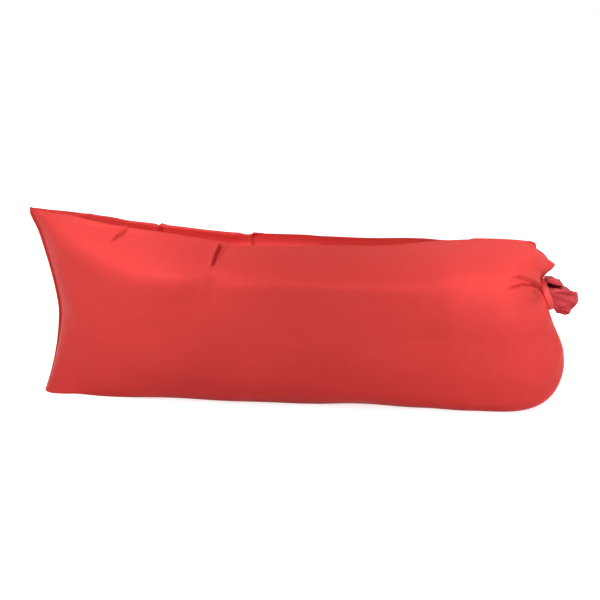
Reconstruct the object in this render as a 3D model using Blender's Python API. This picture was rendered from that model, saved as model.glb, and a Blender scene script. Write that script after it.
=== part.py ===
"""Inflatable air lounger: two air tubes side by side, sewn to one flat end seam at the head end and
gathered, pleated and strapped at the mouth end.

+X runs from the head end to the mouth, +Y to the far tube, +Z up. The floor is z = 0 and the origin
lies under the middle of the whole length. Each tube is described by its own depth d, measured from
the plane y = 0 between the tubes, so that the two tubes are mirror images.
"""

import math

import bmesh
import bpy
from mathutils import Euler, Matrix, Vector

# Air tubes, in metres
OVERALL_LENGTH = 1.906
TUBE_HEIGHT = 0.530
TUBE_WIDTH = 0.345
CREST_OFFSET = 0.180
FLOOR_CONTACT_OFFSET = 0.160
WIDEST_HEIGHT = 0.255
JOIN_HEIGHT = 0.250
FLOOR_SINK = 0.007
WALL_PRESS = 0.008
SWELL_RUN = 0.70
CONTACT_RUN = 0.20
MOUTH_RISE = 0.025
MOUTH_RISE_BEFORE_NECK = 0.683
MOUTH_RISE_RUN = 0.50
CREST_CLOSE_BEFORE_NECK = 0.983
CREST_CLOSE_RUN = 0.92
EAR_RUN_DOWN = 0.78

# Fabric layers
SHELL_WALL = 0.0012
FILM_WALL = 0.0005
FIT_GAP = 0.0003
TUBE_SPACING = 0.0010
SEAM_SPACING = 0.00015
SEAM_LAYER = 0.0010

# Flat end seam
EAR_HEIGHT = 0.630
EAR_REACH = 0.100
HEEL_REACH = 0.046
WAIST_HEIGHT = 0.270
SEAM_TAB = 0.018
BINDING_REACH = 0.012
BINDING_WALL = 0.0008
REACH_FADE_RUN = 0.35
PRESS_RUN = 0.08

# Neck, and the rounded end that is gathered to it
NECK_TO_TIP = 0.120
NECK_Z = 0.362
NECK_HALF_HEIGHT = 0.050
NECK_HALF_WIDTH = 0.056
NECK_RIDGE = 0.012
NECK_LENGTH = 0.028
NECK_PLEAT = 0.0012
NECK_TILT = math.radians(22.5)
ROUND_END_LENGTH = 0.235
BULGE_LOW_PAST_NECK = 0.067
BULGE_SIDE_PAST_NECK = 0.041
BULGE_SHOULDER_BEFORE_NECK = 0.014
BULGE_EAR_PAST_NECK = 0.030
BULGE_DEPTH = 0.060

# Kinks across the top of the near tube
SMALL_KINK_FROM_HEAD = 0.353
SMALL_KINK_DEPTH = 0.010
BIG_KINK_FROM_HEAD = 0.708
BIG_KINK_DEPTH = 0.014
KINK_HALF_LENGTH = 0.045

# Pleated mouth
PLEAT_LAYER = 0.0045
PLEAT_GROOVE_ROOT = 0.004
PLEAT_HALF_WIDTH = 0.046
PLEAT_BACK_WIDTH = 0.020
PLEAT_ABOVE_NECK = 0.070
PLEAT_BELOW_NECK = 0.058
PLEAT_TOP_BEFORE_TIP = 0.053
PLEAT_LOW_BEFORE_TIP = 0.019
HEM_LENGTH = 0.016
HEM_GAP = 0.0007

# Seam between the tubes
SEAM_TAPE_HEIGHT = 0.024
SEAM_TAPE_INSET = 0.003

# Strap and side-release buckle
STRAP_WIDTH = 0.020
STRAP_THICK = 0.0016
SEWN_TAIL = 0.014
BUCKLE_WIDTH = 0.025
BUCKLE_DEPTH = 0.009
BUCKLE_EDGE = 0.0012
BUCKLE_ABOVE_NECK = 0.006
BUCKLE_SHIFT = 0.002
SOCKET_LENGTH = 0.034
SOCKET_BAR = 0.003
POCKET_WIDTH = 0.019
POCKET_DEPTH = 0.005
POCKET_LENGTH = 0.024
WINDOW_LOW = 0.020
WINDOW_TOP = 0.009
SLOT_WIDTH = 0.0212
SLOT_HEIGHT = 0.004
PLUG_BASE = 0.014
PLUG_BAR = 0.0035
PRONG_LENGTH = 0.022
PRONG_WIDTH = 0.003
BARB_STAND = 0.0024
BARB_HEIGHT = 0.0045
TIP_TAPER = 0.0015
TONGUE_WIDTH = 0.0034
TONGUE_LENGTH = 0.017
JOIN_DEPTH = 0.002
OVERRUN = 0.010

# Counts, angles and exponents of the curves
POINTS_HALF = 12
PLEAT_LEGS = 10
PLAIN_RINGS = 5
CAP_ANGLES = tuple(math.radians(angle) for angle in (22, 40, 56, 70, 82))
SOFT_ANGLE = math.radians(40)
SEAM_RING_COUNT = 2
FILM_START_RING = 3
FILM_CAVITY_START_RING = 4
MITRE_ROUNDS = 12
FULLNESS_CURVE = 0.80
EAR_CURVE = 1.35
HEEL_CURVE = 2.0
RISE_CURVE = 1.22
SWELL_CURVE = 2.5
SWELL_ROUND_CURVE = 0.52
CREST_CURVE = 3.8
CAP_TOP_CURVE = 0.46
CAP_SIDE_CURVE = 0.64
NECK_CURVE = 0.90

# Shares of the sizes above
CREST_CLOSE_SHARE = 0.84
PULL_SHARE = 0.35
PULL_FREE_SHARE = 0.26
HOLLOW_SHARE = 0.45
SHOULDER_SHARE = 0.30
EAR_START_SHARE = 0.60
RIDGE_FADE_SHARE = 0.5
GROOVE_FADE_SHARE = 0.5
MITRE_EASE_SHARE = 0.25
MITRE_LIMIT_SHARE = 1.8
TURN_LIMIT_SHARE = 0.5
SWELL_RING_SHARES = (0.012, 0.024, 0.038, 0.072, 0.128, 0.20)
KINK_CREST_SHARES = {-2: 0.15, -1: 0.75, 0: 1.0, 1: 0.45}
PLEAT_END_SHARES = (0.0, 0.25, 0.60, 0.95, 1.0, 0.95, 0.76, 0.62, 0.36, 0.08, 0.0)
PLEAT_RING_SHARES = (0.0, 0.25, 0.55, 1.0)

# Finishes
FABRIC_RED = (0.62, 0.045, 0.040)
WEBBING_RED = (0.80, 0.11, 0.11)
FILM_CLEAR = (0.75, 0.76, 0.78)
BUCKLE_BLACK = (0.02, 0.02, 0.02)
FABRIC_ROUGHNESS = 0.5
FILM_ROUGHNESS = 0.2
WEBBING_ROUGHNESS = 0.6
BUCKLE_ROUGHNESS = 0.4

# Places worked out from the sizes
HEAD_X = -OVERALL_LENGTH / 2
TIP_X = OVERALL_LENGTH / 2
WAIST_X = HEAD_X + EAR_REACH
NECK_X = TIP_X - NECK_TO_TIP
NECK_AXIS = Vector((math.cos(NECK_TILT), 0.0, math.sin(NECK_TILT)))
BODY_RUN = NECK_X - ROUND_END_LENGTH - WAIST_X
SMALL_KINK_X = HEAD_X + SMALL_KINK_FROM_HEAD
BIG_KINK_X = HEAD_X + BIG_KINK_FROM_HEAD
BUCKLE_CENTRE = NECK_HALF_WIDTH + NECK_PLEAT + FIT_GAP + BUCKLE_DEPTH / 2
BUCKLE_ALONG = NECK_LENGTH / 2 + BUCKLE_SHIFT
BAR_CLEAR = BUCKLE_DEPTH / 2 + FIT_GAP + STRAP_THICK / 2


def smooth(value):
    """Ease from 0 to 1 with level ends."""
    value = min(max(value, 0.0), 1.0)
    return value * value * (3.0 - 2.0 * value)


def power(value, exponent):
    """Raise a value that may be a hair below zero."""
    return max(value, 0.0) ** exponent


def mix(start, end, share):
    """Blend two numbers or vectors."""
    return start + (end - start) * share


def ring_angle(index):
    """Angle of a section point: -90 degrees at the floor, 90 degrees at the crest."""
    step = math.pi / POINTS_HALF
    if index <= POINTS_HALF:
        return index * step - math.pi / 2
    return math.pi / 2 - (index - POINTS_HALF) * step


def edge_reach(height):
    """How far the head seam stands out past its waist at one height."""
    if height >= WAIST_HEIGHT:
        share = (height - WAIST_HEIGHT) / (EAR_HEIGHT - WAIST_HEIGHT)
        return EAR_REACH * share ** EAR_CURVE
    return HEEL_REACH * ((WAIST_HEIGHT - height) / WAIST_HEIGHT) ** HEEL_CURVE


def crest_height(x):
    """Height of a tube's top: it climbs to the ear at the head and a little towards the mouth."""
    down = power(1.0 - (x - HEAD_X) / EAR_RUN_DOWN, RISE_CURVE)
    ear = (EAR_HEIGHT - TUBE_HEIGHT) * down
    risen = smooth((x - NECK_X + MOUTH_RISE_BEFORE_NECK) / MOUTH_RISE_RUN)
    return TUBE_HEIGHT + ear + MOUTH_RISE * risen


def swell(run, full_run):
    """Share of its full width that a tube's round end has reached at a distance from the seam tab."""
    return power(1.0 - power(1.0 - run / full_run, SWELL_CURVE), SWELL_ROUND_CURVE)


def section(run):
    """Depth and height of the points around one tube, at a distance from the head seam's waist."""
    x_plane = WAIST_X + run
    crest_x = x_plane - EAR_REACH * (1.0 - smooth(run / REACH_FADE_RUN))
    top = crest_height(crest_x)
    grown = max(run - SEAM_TAB, 0.0)
    spacing = mix(SEAM_SPACING, TUBE_SPACING, smooth(grown / (SEAM_TAB + SEAM_TAB)))
    closed = smooth((x_plane - NECK_X + CREST_CLOSE_BEFORE_NECK) / CREST_CLOSE_RUN)
    seam_middle = SEAM_SPACING + SEAM_LAYER / 2
    width = max(TUBE_WIDTH * swell(grown, SWELL_RUN), SEAM_SPACING + SEAM_LAYER)
    opened = 1.0 - power(1.0 - grown / SWELL_RUN, CREST_CURVE)
    crest = max(CREST_OFFSET * opened * (1.0 - CREST_CLOSE_SHARE * closed), seam_middle)
    contact = max(FLOOR_CONTACT_OFFSET * swell(grown, CONTACT_RUN), seam_middle)
    sink = FLOOR_SINK * smooth(grown / PRESS_RUN)
    points = []
    for index in range(2 * POINTS_HALF):
        angle = ring_angle(index)
        across = power(math.cos(angle), FULLNESS_CURVE)
        lift = power(abs(math.sin(angle)), FULLNESS_CURVE)
        outer = index <= POINTS_HALF
        middle = mix(WIDEST_HEIGHT, JOIN_HEIGHT, 0.0 if outer else smooth(grown / SWELL_RUN))
        anchor = crest if angle > 0.0 else contact
        if outer:
            depth = mix(anchor, width, across)
        else:
            press = WALL_PRESS * smooth(grown / PRESS_RUN)
            depth = max(mix(anchor, spacing - press, across), spacing)
        height = mix(middle, top, lift) if angle > 0.0 else middle * (1.0 - lift)
        height = max(height - sink, 0.0) * top / (top - sink)
        points.append((depth, height))
    return points


def kink_depth(x, index):
    """How far a kink draws a point of the crest inwards."""
    depth = 0.0
    for place, deepest in ((SMALL_KINK_X, SMALL_KINK_DEPTH), (BIG_KINK_X, BIG_KINK_DEPTH)):
        share = KINK_CREST_SHARES.get(index - POINTS_HALF, 0.0)
        depth += deepest * share * (1.0 - smooth(abs(x - place) / KINK_HALF_LENGTH))
    return depth


def body_ring(run, kinked):
    """One section of a tube between the head seam and the gathered end."""
    fade = 1.0 - smooth(run / REACH_FADE_RUN)
    ring = []
    for index, (depth, height) in enumerate(section(run)):
        x = WAIST_X + run - edge_reach(height) * fade
        sunk = kink_depth(x, index) if kinked else 0.0
        ring.append(Vector((x, depth, height - sunk)))
    return ring


def neck_point(along, depth, up):
    """A point of the neck: along its axis, across it and up its tilted face."""
    x = NECK_X + along * math.cos(NECK_TILT) - up * math.sin(NECK_TILT)
    z = NECK_Z + along * math.sin(NECK_TILT) + up * math.cos(NECK_TILT)
    return Vector((x, depth, z))


def neck_ring(along):
    """One section of a tube's gathered neck, with a small pleat at every other point."""
    ring = []
    for index in range(2 * POINTS_HALF):
        angle = ring_angle(index)
        pleat = NECK_PLEAT * (1 if index % 2 else -1)
        across = power(math.cos(angle), NECK_CURVE)
        up = NECK_HALF_HEIGHT * math.sin(angle)
        if index <= POINTS_HALF:
            depth = mix(NECK_RIDGE, NECK_HALF_WIDTH, across)
            depth += pleat * math.cos(angle)
            up += pleat * math.sin(angle)
        else:
            depth = mix(NECK_RIDGE, TUBE_SPACING, smooth(across / RIDGE_FADE_SHARE))
        ring.append(neck_point(along, depth, up))
    return ring


def bulge_x(index):
    """How far along X the gathered end stands out, by the part of the section it closes."""
    level = math.sin(ring_angle(index))
    if level < 0.0:
        return NECK_X + mix(BULGE_SIDE_PAST_NECK, BULGE_LOW_PAST_NECK, smooth(-level))
    shoulder = mix(BULGE_SIDE_PAST_NECK, -BULGE_SHOULDER_BEFORE_NECK, smooth(level / SHOULDER_SHARE))
    risen = smooth((level - EAR_START_SHARE) / (1.0 - EAR_START_SHARE))
    return NECK_X + mix(shoulder, BULGE_EAR_PAST_NECK, risen)


def neck_plane_x(height):
    """Where the tilted plane through the start of the neck lies at one height."""
    return NECK_X - (height - NECK_Z) * math.tan(NECK_TILT)


def cap_ring(angle):
    """One ring of the gathered end, which rounds in from the last full section to the neck."""
    start = body_ring(BODY_RUN, False)
    end = neck_ring(0.0)
    ring = []
    for index, (outer, inner) in enumerate(zip(start, end)):
        level = abs(math.sin(ring_angle(index)))
        full = mix(CAP_SIDE_CURVE, CAP_TOP_CURVE, level)
        radial = power(math.cos(angle), full)
        reach = power(math.sin(angle), full)
        point = mix(inner, outer, radial)
        plane = min(neck_plane_x(point.z), NECK_X + BULGE_LOW_PAST_NECK)
        clear = smooth(point.y / BULGE_DEPTH)
        away = math.hypot(point.y - inner.y, point.z - inner.z) if index > POINTS_HALF else 0.0
        hollow = plane - HOLLOW_SHARE * away * (1.0 - clear)
        pull = smooth((radial - PULL_FREE_SHARE) / PULL_SHARE) * clear
        far = mix(hollow, bulge_x(index), pull)
        ring.append(Vector((mix(outer.x, far, reach), point.y, point.z)))
    return ring


def tube_rings(kinked):
    """All rings of one tube's outside, from the head seam to the end of the neck."""
    seam = [0.0, SEAM_TAB]
    swelling = [SEAM_TAB + SWELL_RUN * share for share in SWELL_RING_SHARES]
    kinks = []
    for place in (SMALL_KINK_X, BIG_KINK_X):
        kinks += [place - WAIST_X + step for step in (-KINK_HALF_LENGTH, 0.0, KINK_HALF_LENGTH)]
    plain = [mix(kinks[-1], BODY_RUN, step / PLAIN_RINGS) for step in range(1, PLAIN_RINGS + 1)]
    between = [(kinks[2] + kinks[3]) / 2]
    runs = sorted(seam + swelling + kinks + between + plain)
    rings = [body_ring(run, kinked) for run in runs]
    rings += [cap_ring(angle) for angle in CAP_ANGLES]
    rings += [neck_ring(0.0), neck_ring(NECK_LENGTH)]
    return rings


def faces_around(rings, row, index):
    """Outward directions of the triangles that meet at one point of a tube's grid."""
    count = len(rings[row])
    centre = rings[row][index]
    around = [(0, 1), (1, 1), (1, 0), (0, -1), (-1, -1), (-1, 0), (0, 1)]
    normals = []
    for (row_a, step_a), (row_b, step_b) in zip(around, around[1:]):
        if min(row + row_a, row + row_b) < 0 or max(row + row_a, row + row_b) >= len(rings):
            continue
        first = rings[row + row_a][(index + step_a) % count] - centre
        second = rings[row + row_b][(index + step_b) % count] - centre
        normals.append(first.cross(second).normalized())
    return normals


def step_inward(rings, row, index, inset):
    """The step that takes a point one thickness in from every triangle that meets there."""
    normals = faces_around(rings, row, index)
    mean = sum(normals, Vector()).normalized()
    step = mean.copy()
    for _ in range(MITRE_ROUNDS):
        for normal in normals:
            step += normal * (1.0 - normal.dot(step)) * MITRE_EASE_SHARE
    if row == len(rings) - 1:
        step -= NECK_AXIS * step.dot(NECK_AXIS)
    if step.length > MITRE_LIMIT_SHARE:
        step = step.normalized() * MITRE_LIMIT_SHARE
    return step * inset


def inset_rings(rings, inset, first):
    """The grid moved inwards by a thickness, from one ring on."""
    moved = []
    for row in range(first, len(rings)):
        ring = rings[row]
        moved.append([point - step_inward(rings, row, index, inset) for index, point in enumerate(ring)])
    return moved


def add_rings(mesh, rings, side):
    """Add a grid's points, on the near side for -1 and on the far side for 1."""
    return [[mesh.verts.new((p.x, side * p.y, p.z)) for p in ring] for ring in rings]


def skin(mesh, grid):
    """Bridge neighbouring rings with triangles, split alike so that nested skins stay parallel."""
    for lower, upper in zip(grid, grid[1:]):
        count = len(lower)
        for index in range(count):
            after = (index + 1) % count
            mesh.faces.new((lower[index], lower[after], upper[after]))
            mesh.faces.new((lower[index], upper[after], upper[index]))


def close_flat(mesh, ring):
    """Close a ring whose two halves face each other, point by point."""
    half = len(ring) // 2
    mesh.faces.new((ring[0], ring[1], ring[-1]))
    for index in range(1, half - 1):
        mesh.faces.new((ring[index], ring[index + 1], ring[-index - 1], ring[-index]))
    mesh.faces.new((ring[half - 1], ring[half], ring[half + 1]))


def paint(obj, color, roughness, metallic=0.0):
    """Give an object its own Principled material."""
    material = bpy.data.materials.new(obj.name)
    material.use_nodes = True
    shader = material.node_tree.nodes["Principled BSDF"]
    shader.inputs["Base Color"].default_value = (*color, 1.0)
    shader.inputs["Roughness"].default_value = roughness
    shader.inputs["Metallic"].default_value = metallic
    obj.data.materials.append(material)


def finish(mesh, name, color, roughness, soft=True):
    """Turn a bmesh into a named object with outward faces."""
    bmesh.ops.recalc_face_normals(mesh, faces=mesh.faces)
    data = bpy.data.meshes.new(name)
    mesh.to_mesh(data)
    mesh.free()
    obj = bpy.data.objects.new(name, data)
    bpy.context.scene.collection.objects.link(obj)
    if soft:
        data.shade_smooth()
        data.set_sharp_from_angle(angle=SOFT_ANGLE)
    paint(obj, color, roughness)
    return obj


def thin_bag(name, side, outside, inside, color, roughness):
    """A thin-walled bag: an outer and an inner skin, both closed at the head and open at the neck."""
    mesh = bmesh.new()
    outer = add_rings(mesh, outside, side)
    inner = add_rings(mesh, inside, side)
    skin(mesh, outer)
    skin(mesh, inner)
    close_flat(mesh, outer[0])
    close_flat(mesh, inner[0])
    skin(mesh, [outer[-1], inner[-1]])
    return finish(mesh, name, color, roughness)


def make_tubes():
    """The two outer shells and the film bladders inside them."""
    for side, name in ((-1, "near"), (1, "far")):
        rings = tube_rings(kinked=side < 0)
        wall = inset_rings(rings, SHELL_WALL, SEAM_RING_COUNT)
        film_out = inset_rings(rings, SHELL_WALL + FIT_GAP, FILM_START_RING)
        film_in = inset_rings(rings, SHELL_WALL + FIT_GAP + FILM_WALL, FILM_CAVITY_START_RING)
        thin_bag(name + "_shell", side, rings, wall, FABRIC_RED, FABRIC_ROUGHNESS)
        thin_bag(name + "_liner", side, film_out, film_in, FILM_CLEAR, FILM_ROUGHNESS)
    return rings


def make_binding(rings):
    """The folded tape sewn over the raw edge of the flat end seam."""
    half_in = SEAM_SPACING + SEAM_LAYER + FIT_GAP
    half_out = half_in + BINDING_WALL
    nose = -FIT_GAP - BINDING_WALL
    outline = ((nose, -half_out), (BINDING_REACH, -half_out), (BINDING_REACH, -half_in),
               (-FIT_GAP, -half_in), (-FIT_GAP, half_in), (BINDING_REACH, half_in),
               (BINDING_REACH, half_out), (nose, half_out))
    mesh = bmesh.new()
    grid = []
    for point in rings[0][:POINTS_HALF + 1]:
        grid.append([mesh.verts.new((point.x + dx, dy, point.z)) for dx, dy in outline])
    skin(mesh, grid)
    mesh.faces.new(grid[0])
    mesh.faces.new(grid[-1])
    finish(mesh, "end_seam_binding", WEBBING_RED, WEBBING_ROUGHNESS)


def make_seam_tape(rings):
    """The tape that joins the two tubes, standing between their pressed walls under the trough."""
    top_index = POINTS_HALF + POINTS_HALF // 2 - 1
    half = TUBE_SPACING - FIT_GAP
    mesh = bmesh.new()
    grid = []
    for ring in rings[FILM_CAVITY_START_RING:-2]:
        point = ring[top_index]
        top = point.z - SEAM_TAPE_INSET
        low = top - SEAM_TAPE_HEIGHT
        corners = ((-half, low), (half, low), (half, top), (-half, top))
        grid.append([mesh.verts.new((point.x, y, z)) for y, z in corners])
    skin(mesh, grid)
    mesh.faces.new(grid[0])
    mesh.faces.new(grid[-1])
    finish(mesh, "centre_seam_tape", WEBBING_RED, WEBBING_ROUGHNESS)


def pleat_reach(leg):
    """How far along X one fold of the mouth ends."""
    behind = PLEAT_LOW_BEFORE_TIP if leg < PLEAT_LEGS // 2 else PLEAT_TOP_BEFORE_TIP
    return TIP_X - behind * (1.0 - PLEAT_END_SHARES[leg])


def pleat_ring(share, back):
    """One zigzag section of the gathered mouth: far side going up, near side coming down."""
    far, near = [], []
    lean = NECK_TILT * (1.0 - share)
    for leg in range(PLEAT_LEGS + 1):
        level = mix(-1.0, 1.0, leg / PLEAT_LEGS)
        root = neck_point(NECK_LENGTH + FIT_GAP, 0.0, (NECK_HALF_HEIGHT - PLEAT_LAYER) * level)
        end_z = NECK_Z + mix(-PLEAT_BELOW_NECK, PLEAT_ABOVE_NECK, leg / PLEAT_LEGS)
        x = mix(root.x, pleat_reach(leg) - back, share)
        z = mix(root.z, end_z, smooth(share))
        oval = math.sqrt(1.0 - (level * NECK_CURVE) ** 2)
        half = mix(NECK_HALF_WIDTH * oval - PLEAT_LAYER, PLEAT_HALF_WIDTH, smooth(share))
        faded = smooth(share / GROOVE_FADE_SHARE)
        groove = mix(half - PLEAT_GROOVE_ROOT, PLEAT_BACK_WIDTH - half, faded)
        rise = PLEAT_LAYER / 2 * math.cos(lean)
        shift = PLEAT_LAYER / 2 * math.sin(lean)
        folded, plain = (far, near) if leg % 2 == 0 else (near, far)
        side = 1.0 if leg % 2 == 0 else -1.0
        folded += [(x + shift, side * half, z - rise), (x - shift, side * half, z + rise)]
        plain.append((x, -side * groove, z))
    return far, near


def pleat_end_faces(mesh, far, near):
    """Close a zigzag section layer by layer."""
    far_at, near_at = 0, 0
    for leg in range(PLEAT_LEGS + 1):
        if leg % 2 == 0:
            mesh.faces.new((far[far_at], far[far_at + 1], near[near_at]))
            far_at += 1
        else:
            mesh.faces.new((near[near_at], near[near_at + 1], far[far_at]))
            near_at += 1
        if leg < PLEAT_LEGS:
            mesh.faces.new((far[far_at], far[far_at + 1], near[near_at + 1], near[near_at]))
            far_at += 1
            near_at += 1


def make_pleats(name, places, color, roughness):
    """A length of the pleated mouth, by places given as shares of the fold and lengths cut back."""
    mesh = bmesh.new()
    sections = []
    for share, back in places:
        sides = pleat_ring(share, back)
        sections.append([[mesh.verts.new(point) for point in side] for side in sides])
    skin(mesh, [far + near[::-1] for far, near in sections])
    pleat_end_faces(mesh, *sections[0])
    pleat_end_faces(mesh, *sections[-1])
    finish(mesh, name, color, roughness)


def make_mouth():
    """The gathered mouth beyond the strap, and the webbing hem along its edge."""
    places = [(share, HEM_LENGTH) for share in PLEAT_RING_SHARES]
    make_pleats("mouth_pleats", places, FABRIC_RED, FABRIC_ROUGHNESS)
    hem = [(1.0, HEM_LENGTH - HEM_GAP), (1.0, 0.0)]
    make_pleats("mouth_hem", hem, WEBBING_RED, WEBBING_ROUGHNESS)


def neck_oval(index, side, stand):
    """Across and up values of a place that stands off the neck's outside by a distance."""
    angle = ring_angle(index)
    across = mix(NECK_RIDGE, NECK_HALF_WIDTH, power(math.cos(angle), NECK_CURVE))
    up = NECK_HALF_HEIGHT + stand
    return Vector((side * (across + stand * math.cos(angle)), up * math.sin(angle)))


def strap_end(bar_far, slot_middle, toward, facing):
    """Path of a strap end: sewn tail, round the buckle's bar through the slot, and away."""
    start = Vector((BUCKLE_CENTRE - BAR_CLEAR, bar_far + facing * STRAP_THICK))
    away = (toward - start).normalized()
    aside = Vector((-away.y, away.x)) * -facing
    step = aside * (STRAP_THICK + FIT_GAP + FIT_GAP)
    turn = Vector((BUCKLE_CENTRE + BAR_CLEAR, bar_far + facing * STRAP_THICK))
    tail_start = start + step + away * STRAP_THICK
    path = [tail_start + away * SEWN_TAIL, tail_start, turn,
            Vector((BUCKLE_CENTRE + BAR_CLEAR, slot_middle + facing * STRAP_THICK)),
            Vector((BUCKLE_CENTRE + BAR_CLEAR - STRAP_THICK, slot_middle)),
            Vector((BUCKLE_CENTRE - BAR_CLEAR + STRAP_THICK, slot_middle)),
            Vector((BUCKLE_CENTRE - BAR_CLEAR, slot_middle + facing * STRAP_THICK)),
            start]
    return path


def ribbon(name, path):
    """A flat strap along a path of across and up values, as wide as the webbing."""
    mesh = bmesh.new()
    grid = []
    for index, point in enumerate(path):
        before = path[max(index - 1, 0)]
        after = path[min(index + 1, len(path) - 1)]
        to_here = (point - before).normalized() if index else (after - point).normalized()
        to_next = (after - point).normalized() if index < len(path) - 1 else to_here
        bisector = (to_here + to_next).normalized()
        normal = Vector((-bisector.y, bisector.x))
        spread = STRAP_THICK / 2 / max(bisector.dot(to_here), TURN_LIMIT_SHARE)
        corners = []
        for along, out in ((-1, -1), (1, -1), (1, 1), (-1, 1)):
            place = point + normal * spread * out
            corners.append(neck_point(BUCKLE_ALONG + along * STRAP_WIDTH / 2, place.x, place.y))
        grid.append([mesh.verts.new(corner) for corner in corners])
    skin(mesh, grid)
    mesh.faces.new(grid[0])
    mesh.faces.new(grid[-1])
    finish(mesh, name, WEBBING_RED, WEBBING_ROUGHNESS, soft=False)


def make_straps():
    """The strap round the neck, and the short strap that carries the buckle's plug."""
    stand = NECK_PLEAT + FIT_GAP + STRAP_THICK / 2
    seam = Vector((FIT_GAP / 2, NECK_HALF_HEIGHT + stand))
    low_bar = BUCKLE_ABOVE_NECK - SOCKET_LENGTH
    low_slot = low_bar + SOCKET_BAR + SLOT_HEIGHT / 2
    high_bar = BUCKLE_ABOVE_NECK + FIT_GAP + PLUG_BASE
    high_slot = high_bar - PLUG_BAR - SLOT_HEIGHT / 2
    under = [neck_oval(index, 1, stand) for index in (2, 1, 0)]
    around = [neck_oval(index, -1, stand) for index in range(POINTS_HALF + 1)]
    path = strap_end(low_bar, low_slot, under[0], -1) + under + around + [Vector((-seam.x, seam.y))]
    ribbon("neck_strap", path)
    over = [neck_oval(POINTS_HALF - index, 1, stand) for index in (3, 2, 1, 0)]
    ribbon("plug_strap", strap_end(high_bar, high_slot, over[0], 1) + over + [seam])


def box(name, low, high):
    """A box between two corners, in the buckle's own axes."""
    mesh = bmesh.new()
    size = Vector(high) - Vector(low)
    centre = (Vector(high) + Vector(low)) / 2
    place = Matrix.Translation(centre) @ Matrix.Diagonal((*size, 1.0))
    bmesh.ops.create_cube(mesh, size=1.0, matrix=place)
    data = bpy.data.meshes.new(name)
    mesh.to_mesh(data)
    mesh.free()
    obj = bpy.data.objects.new(name, data)
    bpy.context.scene.collection.objects.link(obj)
    return obj


def ease_edges(obj):
    """Round the moulded edges of a buckle part."""
    bevel = obj.modifiers.new("edges", "BEVEL")
    bevel.width = BUCKLE_EDGE
    bevel.segments = 2
    bevel.limit_method = "ANGLE"


def combine(obj, other, operation):
    """Cut a tool out of an object, or join a piece to it."""
    modifier = obj.modifiers.new(other.name, "BOOLEAN")
    modifier.object = other
    modifier.operation = operation
    modifier.solver = "EXACT"
    other.hide_render = True
    other.display_type = "WIRE"


def place_on_neck(objects):
    """Hang the buckle parts on an empty that lies on the strap, tilted as the neck is."""
    holder = bpy.data.objects.new("buckle_holder", None)
    bpy.context.scene.collection.objects.link(holder)
    holder.location = neck_point(BUCKLE_ALONG, BUCKLE_CENTRE, BUCKLE_ABOVE_NECK)
    holder.rotation_euler = Euler((0.0, -NECK_TILT, 0.0))
    for obj in objects:
        obj.parent = holder


def make_socket():
    """The buckle's socket: pocket for the prongs, side windows for the barbs, slot and bar."""
    half_width, half_depth = BUCKLE_WIDTH / 2, BUCKLE_DEPTH / 2
    low, high = (-half_width, -half_depth, -SOCKET_LENGTH), (half_width, half_depth, 0.0)
    body = box("buckle_socket", low, high)
    ease_edges(body)
    pocket = box("socket_pocket", (-POCKET_WIDTH / 2, -POCKET_DEPTH / 2, -POCKET_LENGTH),
                 (POCKET_WIDTH / 2, POCKET_DEPTH / 2, OVERRUN))
    window = box("socket_window", (-half_width - OVERRUN, -POCKET_DEPTH / 2, -WINDOW_LOW),
                 (half_width + OVERRUN, POCKET_DEPTH / 2, -WINDOW_TOP))
    slot_low = SOCKET_BAR - SOCKET_LENGTH
    slot = box("socket_slot", (-SLOT_WIDTH / 2, -half_depth - OVERRUN, slot_low),
               (SLOT_WIDTH / 2, half_depth + OVERRUN, slot_low + SLOT_HEIGHT))
    for cutter in (pocket, window, slot):
        combine(body, cutter, "DIFFERENCE")
    paint(body, BUCKLE_BLACK, BUCKLE_ROUGHNESS)
    return [body, pocket, window, slot]


def prong_outline(side):
    """Outline of one prong and its barb, as across and up values."""
    outer = POCKET_WIDTH / 2 - FIT_GAP
    catch = -WINDOW_TOP - FIT_GAP
    return [(side * across, up) for across, up in (
        (outer, FIT_GAP + JOIN_DEPTH), (outer, catch), (outer + BARB_STAND, catch),
        (outer + BARB_STAND, catch - BARB_HEIGHT), (outer - TIP_TAPER, -PRONG_LENGTH),
        (outer - PRONG_WIDTH, -PRONG_LENGTH), (outer - PRONG_WIDTH, FIT_GAP + JOIN_DEPTH))]


def slab(name, outline, thick):
    """A flat piece with an outline in the buckle's plane."""
    mesh = bmesh.new()
    front = [mesh.verts.new((across, -thick / 2, up)) for across, up in outline]
    back = [mesh.verts.new((across, thick / 2, up)) for across, up in outline]
    mesh.faces.new(front)
    mesh.faces.new(back)
    skin(mesh, [front, back])
    return finish(mesh, name, BUCKLE_BLACK, BUCKLE_ROUGHNESS, soft=False)


def make_plug():
    """The buckle's plug: base with slot and bar, two barbed prongs and a guide tongue."""
    half_width, half_depth = BUCKLE_WIDTH / 2, BUCKLE_DEPTH / 2
    base_top = FIT_GAP + PLUG_BASE
    base = box("buckle_plug", (-half_width, -half_depth, FIT_GAP), (half_width, half_depth, base_top))
    ease_edges(base)
    slot_top = base_top - PLUG_BAR
    slot = box("plug_slot", (-SLOT_WIDTH / 2, -half_depth - OVERRUN, slot_top - SLOT_HEIGHT),
               (SLOT_WIDTH / 2, half_depth + OVERRUN, slot_top))
    combine(base, slot, "DIFFERENCE")
    thick = POCKET_DEPTH - FIT_GAP - FIT_GAP
    half = TONGUE_WIDTH / 2
    root = FIT_GAP + JOIN_DEPTH
    outline = [(-half, root), (-half, -TONGUE_LENGTH), (half, -TONGUE_LENGTH), (half, root)]
    tongue = slab("plug_tongue", outline, thick)
    arms = [slab("plug_prong_left", prong_outline(-1), thick),
            slab("plug_prong_right", prong_outline(1), thick), tongue]
    for arm in arms:
        combine(base, arm, "UNION")
    paint(base, BUCKLE_BLACK, BUCKLE_ROUGHNESS)
    return [base, slot] + arms


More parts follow.
